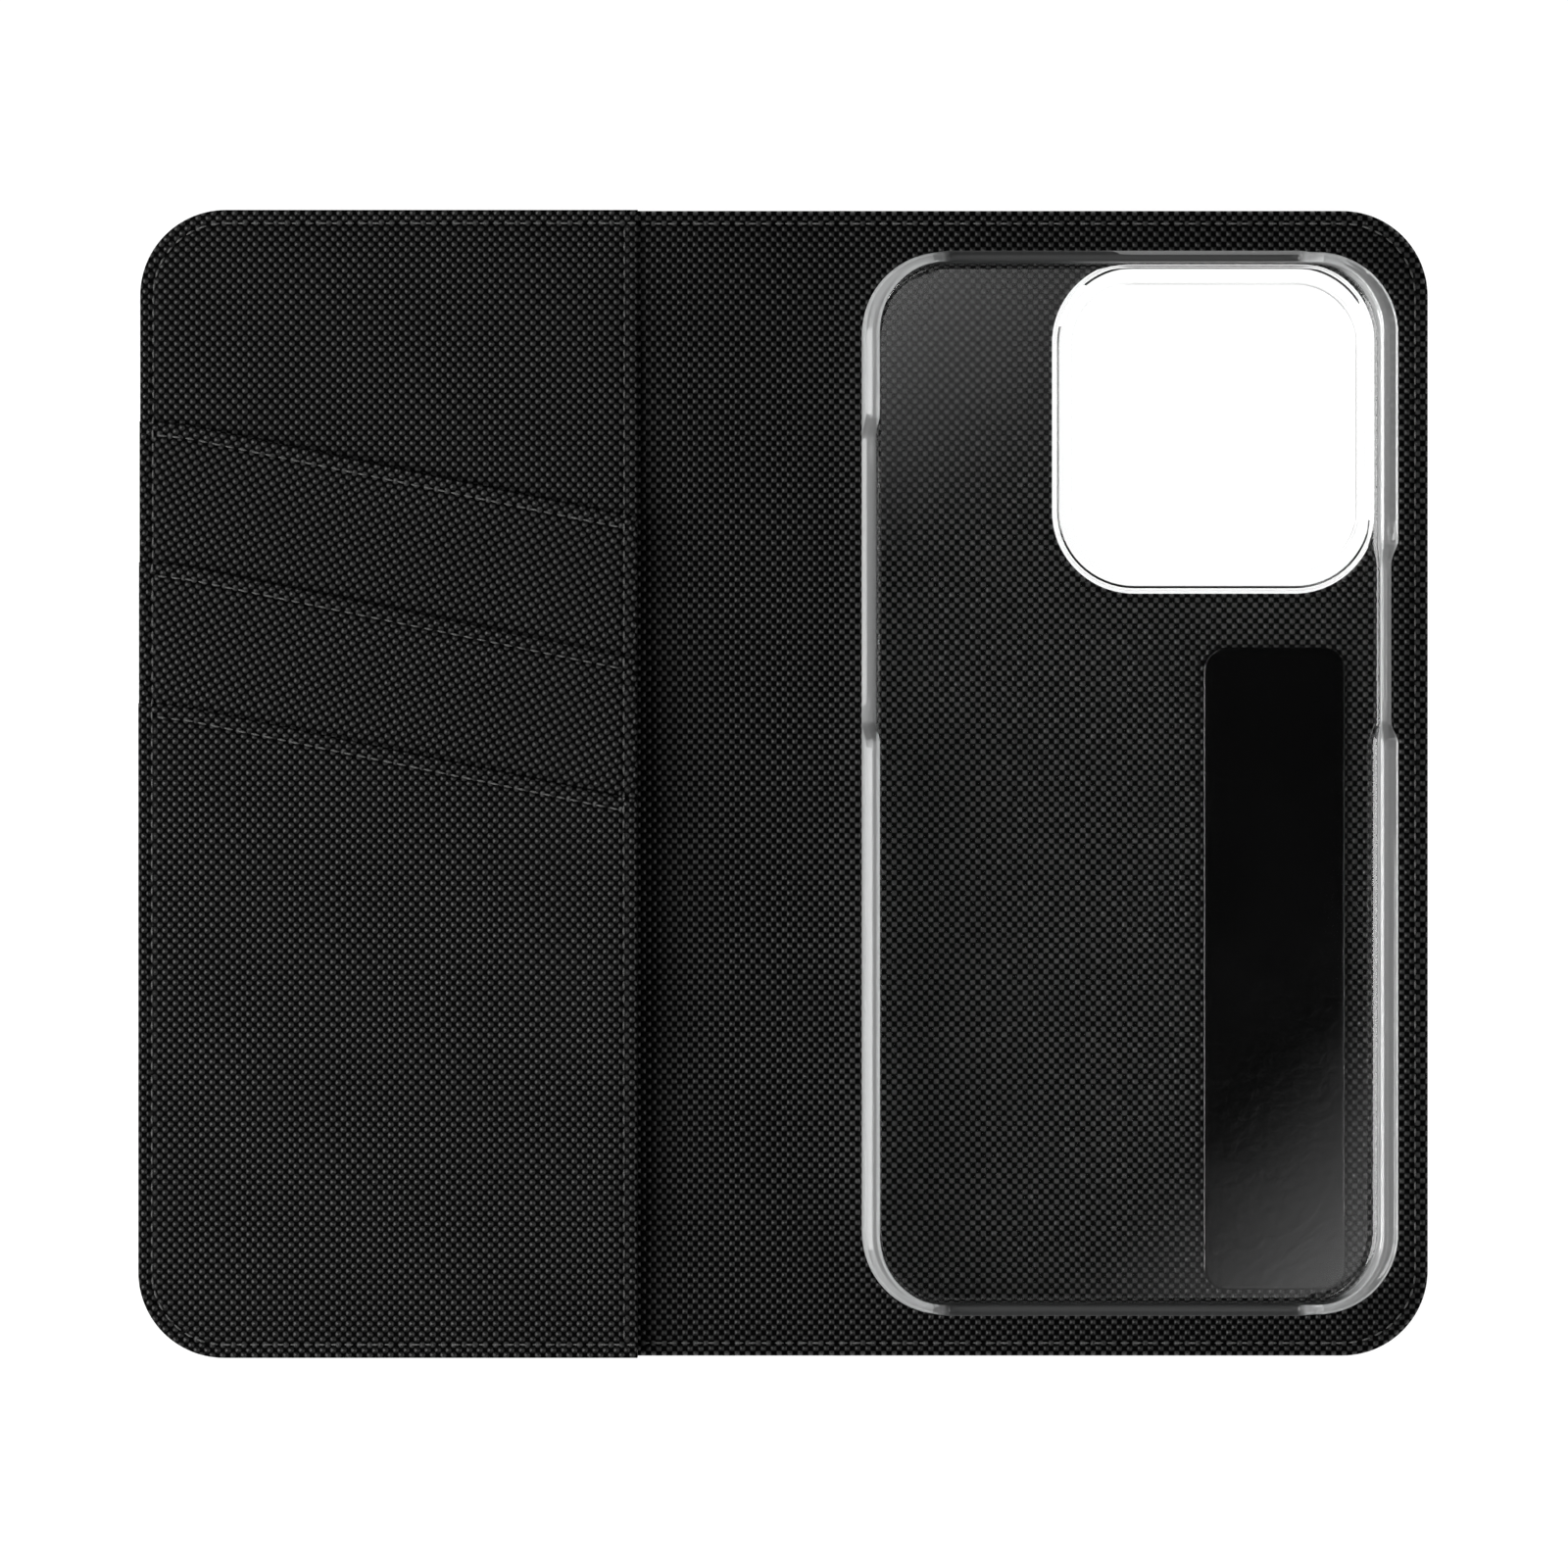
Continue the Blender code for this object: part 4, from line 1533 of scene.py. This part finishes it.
@dataclass
class ClearShell:
    """The clear tray that holds the phone.

    Attributes:
        base: The floor's thickness.
        side_wall: The thickness of the two long walls.
        end_wall: The thickness of the two short walls.
        corner: The radius of the outer corners.
        lip_reach: How far the lip reaches inward.
        lip_depth: How far below the rim the wall starts to lean in.
        low_wall: The wall's height above the floor in a notch.
        slope: The length of a notch's sloping end.
        left_notch: From the camera end to the left notch's far and near ends.
        right_notch: The same for the right notch.
        end_notch: From the left side, and from the right side, to the end walls' notches.
        right_swell: How far the right wall's foot stands out in its notch.
        end_swell: How far the end walls' feet stand out in theirs.
        collar_recess: From the cover's outer face up to the collar's lower edge.
        side_trim: How far the left wall bulges out, and how far the right one is drawn in.
        draft: How far the camera opening widens towards the outer side.
        collar_draft: How far the collar's outer wall leans in towards the outer side.
        collar_round: The radius of the collar's edges.
        fillet: The radius between a wall and the floor.
        right_fillet: The same under the right wall's full height, where it is widest.
        rim: The rim's profile, as a share of the wall's thickness and the drop below its top.
    """

    base: float = 1.2 * MM
    side_wall: float = 1.95 * MM
    end_wall: float = 1.0 * MM
    corner: float = 11.5 * MM
    lip_reach: float = 0.45 * MM
    lip_depth: float = 2.4 * MM
    low_wall: float = 2.2 * MM
    slope: float = 3.2 * MM
    left_notch: Point = (66.15 * MM, 26.15 * MM)
    right_notch: Point = (66.15 * MM, 43.95 * MM)
    end_notch: Point = (12.6 * MM, 13.9 * MM)
    right_swell: float = -0.55 * MM
    end_swell: float = 0.6 * MM
    collar_recess: float = 0.5 * MM
    side_trim: Point = (0.25 * MM, 0.5 * MM)
    draft: float = 0.2 * MM
    collar_draft: float = 0.55 * MM
    collar_round: float = 0.45 * MM
    fillet: float = 0.8 * MM
    right_fillet: float = 1.7 * MM
    rim: tuple[Point, ...] = (
        (0.0, 0.50 * MM), (0.015, 0.42 * MM), (0.05, 0.36 * MM), (0.19, 0.205 * MM), (0.33, 0.05 * MM),
        (0.40, 0.0), (0.56, 0.0), (0.72, 0.0), (0.86, 0.06 * MM), (0.95, 0.18 * MM), (1.0, 0.38 * MM),
    )
    collar: CameraCollar = CameraCollar()

    def __post_init__(self) -> None:
        """Read the shell's box, and place its notches."""
        low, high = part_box("clear_shell")
        left, right = low[0] - self.side_trim[0], high[0] - self.side_trim[1]
        self.centre = ((left + right) / 2, (low[1] + high[1]) / 2)
        self.half = ((right - left) / 2, (high[1] - low[1]) / 2)
        self.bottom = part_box("adhesive_pad")[1][2] + 0.2 * MM
        self.height = high[2] - self.bottom
        hx, hy = self.half
        across = (self.end_notch[0] - hx, hx - self.end_notch[1])
        self.notches = {
            "left": (hy - self.left_notch[0], hy - self.left_notch[1]),
            "right": (hy - self.right_notch[0], hy - self.right_notch[1]),
            "top": across,
            "bottom": across,
        }
        self.swell = {
            "left": 0.0, "right": self.right_swell, "top": self.end_swell, "bottom": self.end_swell
        }

    def standing(self, side: str, along: float) -> float:
        """How much of the wall stands at a place: 1 is full, 0 is a notch's floor.

        Args:
            side: The wall's name.
            along: The place along it.

        Returns:
            The share that stands.
        """
        low, high = self.notches[side]
        t = min(max(low - along, along - high, 0.0) / self.slope, 1.0)
        return t * t * (3 - 2 * t)

    def side_places(self, side: str, limit: float) -> list[float]:
        """Places along a straight wall, closer together on a notch's slopes.

        Args:
            side: The wall's name.
            limit: Half of the straight wall's length.

        Returns:
            The places, without both ends.
        """
        low, high = self.notches[side]
        bands = [(low - self.slope, low), (high, high + self.slope)]
        places = stations(-limit, limit, 4 * MM, bands, self.slope / 9)
        return [float(p) for p in places[1:-1]]

    def walls(self) -> list[tuple[Point, Point, float, float]]:
        """Where the wall's section is taken, counter-clockwise from the right wall.

        Returns:
            For each place: its corner's centre or its wall point, the direction out of the
            shell, how much of the wall stands there, and how far its foot swells out.
        """
        hx, hy = self.half[0] - self.corner, self.half[1] - self.corner
        runs = (
            ("right", (1.0, 0.0), ("right", "top"), 1),
            ("top", (0.0, 1.0), ("left", "top"), -1),
            ("left", (-1.0, 0.0), ("left", "bottom"), -1),
            ("bottom", (0.0, -1.0), ("right", "bottom"), 1),
        )
        result = []
        for turn, (name, out, (side, end), ahead) in enumerate(runs):
            upright = name == side
            for along in self.side_places(name, hy if upright else hx)[::ahead]:
                place = (out[0] * hx, along) if upright else (along, out[1] * hy)
                stands = self.standing(name, along)
                result.append((place, out, stands, (1 - stands) * self.swell[name]))
            centre = (hx if side == "right" else -hx, hy if end == "top" else -hy)
            for x, y in arc((0.0, 0.0), 1.0, 90 * turn, 90 * turn + 90, 22):
                at_side = self.standing(side, centre[1] + y * self.corner)
                at_end = self.standing(end, centre[0] + x * self.corner)
                swell = (1 - at_side) * self.swell[side] + (1 - at_end) * self.swell[end]
                result.append((centre, (x, y), min(at_side, at_end), swell))
        return result

    def section(self, stands: float, fillet: float) -> list[tuple[float, float, float]]:
        """The wall's section from the shell's underside, over the rim, to the floor.

        Args:
            stands: How much of the wall stands.
            fillet: The radius between the wall and the floor.

        Returns:
            Points as (inset in walls, further inset in metres, height above the underside).
        """
        full = self.height - self.base
        top = self.base + self.low_wall + (full - self.low_wall) * stands
        lean_depth = min(self.lip_depth, 0.5 * (top - self.base))
        reach = self.lip_reach * stands

        def lean(z: float) -> float:
            """How far the wall leans in at a height."""
            t = min(max((z - top + lean_depth) / lean_depth, 0.0), 1.0)
            return reach * t * t * 1.6

        shoulder = top - lean_depth
        outer = shoulder + (top - self.rim[0][1] - shoulder) * 0.5
        points = [(0.5 * (1 - sine), 0.0, self.base * (1 - cosine)) for sine, cosine in quarter(6)]
        points += [(0.0, 0.0, self.base + (shoulder - self.base) * share) for share in (0.35, 0.7)]
        points += [(0.0, lean(shoulder), shoulder), (0.0, lean(outer), outer)]
        points += [(share, lean(top - drop), top - drop) for share, drop in self.rim]
        inner = [shoulder + (top - self.rim[-1][1] - shoulder) * share for share in (0.6, 0.3, 0.0)]
        points += [(1.0, lean(z), z) for z in inner]
        points.append((1.0, 0.0, self.base + max(fillet, (shoulder - self.base) * 0.6)))
        for sine, cosine in quarter(4):
            points.append((1.0, fillet * (1 - cosine), self.base + fillet * 0.95 * (1 - sine)))
        return points

    def rings(self) -> Array:
        """The wall's surface as rings of points, from the underside to the floor.

        Returns:
            The rings, with the same number of points in each.
        """
        sections = []
        for (cx, cy), (ox, oy), stands, swell in self.walls():
            column = []
            fillet = self.fillet + (self.right_fillet - self.fillet) * stands * max(ox, 0.0) ** 2
            for inset, further, z in self.section(stands, fillet):
                in_x = inset * self.side_wall + further - swell * (1 - inset)
                in_y = inset * self.end_wall + further - swell * (1 - inset)
                x = self.centre[0] + cx + ox * (self.corner - in_x)
                y = self.centre[1] + cy + oy * (self.corner - in_y)
                column.append((x, y, self.bottom + z))
            sections.append(column)
        return np.array(sections).transpose(1, 0, 2)

    def collar_rings(self) -> Array:
        """The collar's surface as rings, from the shell's underside to its floor.

        Returns:
            The rings, with the same number of points in each.
        """
        low, r = self.collar_recess, self.collar_round
        floor = self.bottom + self.base
        wall = self.collar.side_wall
        lean = self.collar_draft / wall
        rows = [(0.0, self.bottom), (0.1 * lean, self.bottom - 0.15 * MM), (lean, low + 1.2 * r)]
        round_x, round_z = r / wall, 1.2 * r
        foot = 1 + self.draft / wall
        for sine, cosine in quarter(5)[1:]:
            rows.append((lean + round_x * (1 - cosine), low + round_z * (1 - sine)))
        for sine, cosine in quarter(5):
            rows.append((foot - round_x * (1 - sine), low + round_z * (1 - cosine)))
        for sine, cosine in quarter(4):
            rows.append((1 - 1.3 * round_x * (1 - cosine), floor - r + r * sine))
        rings = [(self.collar.ring(share), z) for share, z in rows]
        return np.array([np.column_stack([ring, np.full(len(ring), z)]) for ring, z in rings])

    def plastic(self) -> ClearPlastic:
        """The shell's finish, whose milky heights follow the shell's own sizes.

        Returns:
            The finish.
        """
        floor_top = self.bottom + self.base
        end = self.centre[1] + self.half[1]
        return ClearPlastic(
            "clear_moulding",
            wall_start=floor_top + 0.05 * MM,
            wall_full=floor_top + 0.7 * MM,
            end_walls=(end - 4.0 * MM, end - 1.6 * MM),
            end_top=floor_top + self.low_wall - 0.3 * MM,
            collar=(self.collar_recess + 0.6 * MM, self.bottom - 0.15 * MM),
        )

    def build(self) -> None:
        """Make the shell as one closed mesh."""
        name = "clear_tray"
        mesh, work = bpy.data.meshes.new(name), bmesh.new()
        walls, collar = self.rings(), self.collar_rings()
        for rings in (walls, collar):
            rows = [[work.verts.new(p) for p in ring] for ring in rings]
            for lower, upper in zip(rows, rows[1:]):
                for i in range(len(lower)):
                    j = (i + 1) % len(lower)
                    work.faces.new((lower[i], lower[j], upper[j], upper[i]))
        for outer, inner in ((walls[0], collar[0]), (walls[-1], collar[-1])):
            self.add_plate(work, outer, inner)
        bmesh.ops.remove_doubles(work, verts=work.verts, dist=2e-6)
        bmesh.ops.recalc_face_normals(work, faces=work.faces)
        work.to_mesh(mesh)
        work.free()
        smooth(mesh, 35.0)
        piece = new_object(name, mesh, self.plastic().material())
        register(piece, ["clear_shell"], "back")

    @staticmethod
    def add_plate(work: bmesh.types.BMesh, outer: Array, inner: Array) -> None:
        """Fill the level space between an outer ring and the collar's ring.

        Args:
            work: The shell's mesh so far.
            outer: The wall's ring.
            inner: The collar's ring.
        """
        plate = Outline(outer[:, :2], holes=[inner[:, :2]])
        low, high = outer[:, :2].min(axis=0), outer[:, :2].max(axis=0)
        columns, rows = np.arange(low[0], high[0], 5 * MM), np.arange(low[1], high[1], 5 * MM)
        places, triangles = plate.triangulate([0.0, 0.12 * MM, 0.3 * MM], columns, rows)
        verts = [work.verts.new((x, y, outer[0, 2])) for x, y in places]
        for triangle in triangles:
            work.faces.new([verts[i] for i in triangle])


@dataclass
class AdhesivePad:
    """The thin pad between the cover and the shell, with softly rounded edges.

    Attributes:
        corner: The radius of its corners.
        thickness: The film's thickness.
        edge: How far in from its edge the film turns down, and how far it drops there.
    """

    corner: float = 3.2 * MM
    thickness: float = 0.35 * MM
    edge: Point = (0.3 * MM, 0.28 * MM)

    def build(self, material: bpy.types.Material) -> None:
        """Make the pad.

        Args:
            material: The film.
        """
        low, high = (np.array(c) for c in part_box("adhesive_pad"))
        outline = Outline(rounded_box(low[:2], high[:2], self.corner, 2 * MM))
        columns, rows = (np.arange(low[i], high[i], 3 * MM) for i in range(2))
        sheet = Sheet(outline, high[2], EdgeForm(*self.edge))
        piece = sheet.build("pad_film", self.thickness, material, columns, rows)
        register(piece, ["adhesive_pad"], "back")


# The studio


@dataclass(frozen=True)
class Softbox:
    """A rectangular lamp that points at the case, and may fade towards its edges.

    Attributes:
        name: The lamp's name.
        place: Where it stands.
        size: Its width and height.
        power: Its power in watts.
        fade: The share of its size over which each edge fades, or 0 for an even lamp.
    """

    name: str
    place: tuple[float, float, float]
    size: tuple[float, float]
    power: float
    fade: float = 0.0

    def build(self) -> None:
        """Make the lamp."""
        lamp = bpy.data.lights.new(self.name, "AREA")
        lamp.shape = "RECTANGLE"
        lamp.size, lamp.size_y = self.size
        lamp.energy = self.power
        if self.fade:
            self.soften(lamp)
        holder = link(self.name, lamp)
        holder.location = self.place
        holder.rotation_euler = (-Vector(self.place)).to_track_quat("-Z", "Y").to_euler()

    def soften(self, lamp: bpy.types.Light) -> None:
        """Make the lamp fade towards its four edges.

        Args:
            lamp: The lamp.
        """
        g = Graph(lamp, "ShaderNodeOutputLight")
        place = g.node("ShaderNodeNewGeometry", {}, {}, "Parametric")
        level: Any = 1.0
        for axis in ("X", "Y"):
            along = g.axis(place, axis)
            level = along.smaller(1 - along).ramp(0.0, self.fade) * level
        g.finish(g.node("ShaderNodeEmission", {}, {"Strength": level}))


@dataclass
class Studio:
    """The white floor, the soft lamps, the dim room and the camera overhead.

    Attributes:
        floor_size: The floor's width and length.
        floor_gap: How far under the case the floor lies.
        camera_height: The camera's height over the page.
        lens: The camera's focal length in millimetres.
        camera_place: The camera's place on the page.
        room: The strength of the room's own light.
        lamps: The lamps.
    """

    floor_size: float = 6.0
    floor_gap: float = 0.05 * MM
    camera_height: float = 0.8024
    lens: float = 128.7
    camera_place: Point = (-0.07 * MM, -0.10 * MM)
    room: float = 0.004
    lamps: tuple[Softbox, ...] = (
        Softbox("left_softbox", (-0.5, -0.04, 0.34), (0.35, 0.5), 4.6),
        Softbox("right_softbox", (0.95, 0.05, 0.6), (0.5, 0.8), 0.5),
        Softbox("right_strip", (0.76, -0.26, 0.42), (0.5, 0.14), 2.2),
        Softbox("upper_glow", (-0.10, 0.28, 1.15), (0.5, 0.5), 3.5, 0.5),
        Softbox("lower_glow", (0.31, -0.295, 1.15), (0.5, 0.5), 2.45, 0.45),
    )

    def build(self) -> None:
        """Make the floor, the lamps, the room's light and the camera."""
        work, mesh = bmesh.new(), bpy.data.meshes.new("floor")
        bmesh.ops.create_grid(work, x_segments=1, y_segments=1, size=self.floor_size / 2)
        work.to_mesh(mesh)
        work.free()
        floor = new_object("floor", mesh, WhiteSweep("white_floor").material())
        floor.location.z = -self.floor_gap
        for lamp in self.lamps:
            lamp.build()
        world = bpy.data.worlds.new("room")
        world.use_nodes = True
        background = world.node_tree.nodes["Background"]
        background.inputs["Color"].default_value = (1.0, 1.0, 1.0, 1.0)
        background.inputs["Strength"].default_value = self.room
        bpy.context.scene.world = world
        bpy.context.scene.view_settings.view_transform = "Standard"
        camera = bpy.data.cameras.new("overhead")
        camera.lens = self.lens
        camera.clip_start, camera.clip_end = 0.01, 20.0
        eye = link("overhead", camera)
        eye.location = (*self.camera_place, self.camera_height)
        bpy.context.scene.camera = eye
        LOG.info("studio made")


# The whole case


@dataclass
class Leathers:
    """The three leathers: the outer skin's, the lining's and the pockets'."""

    skin: bpy.types.Material
    lining: bpy.types.Material
    pocket: bpy.types.Material


def build_inner_seams(cover: Cover, wallet: Wallet, thread: bpy.types.Material) -> None:
    """Make the inner perimeter seams, which step up over the wallet's layers.

    Args:
        cover: The cover that they are sewn into.
        wallet: The wallet that the front one also goes through.
        thread: The thread's finish.
    """
    seams = (
        (Side.FRONT, wallet.surface, ("stitch_front", "stitch_spine_bottom")),
        (Side.BACK, cover.lining(Side.BACK).height, ("stitch_back", "stitch_spine_top")),
    )
    for side, height, nodes in seams:
        name = f"inner_seam_{side.name.lower()}"
        seam = Seam().build(name, cover.perimeter(side), height, 1, thread)
        register(seam, nodes)
        cover.bend_at_fold(seam, side)


def main() -> None:
    """Build every piece of the case and the studio around it."""
    logging.basicConfig(level=logging.INFO, format="%(name)s: %(message)s")
    sizes = CaseSizes.from_frame()
    leather = Leathers(
        GrainedLeather("outer_leather_grain").material(),
        GrainedLeather("lining_leather_grain", peak=1.0, ridge=0.22).material(),
        GrainedLeather("pocket_leather_grain").material(),
    )
    thread = TwistedThread("seam_thread").material()
    card = GreyCard("stiffener_card").material()
    for name in ("board_back", "board_spine", "board_front"):
        dress(frame["nodes"][name].data, card)
    cover = Cover(sizes)
    wallet = Wallet(sizes, cover)
    cover.build(leather, thread)
    wallet.build(leather, thread)
    build_inner_seams(cover, wallet, thread)
    AdhesivePad().build(PadFilm("pad_film_black").material())
    ClearShell().build()
    Studio().build()


if __name__ == "__main__":
    main()
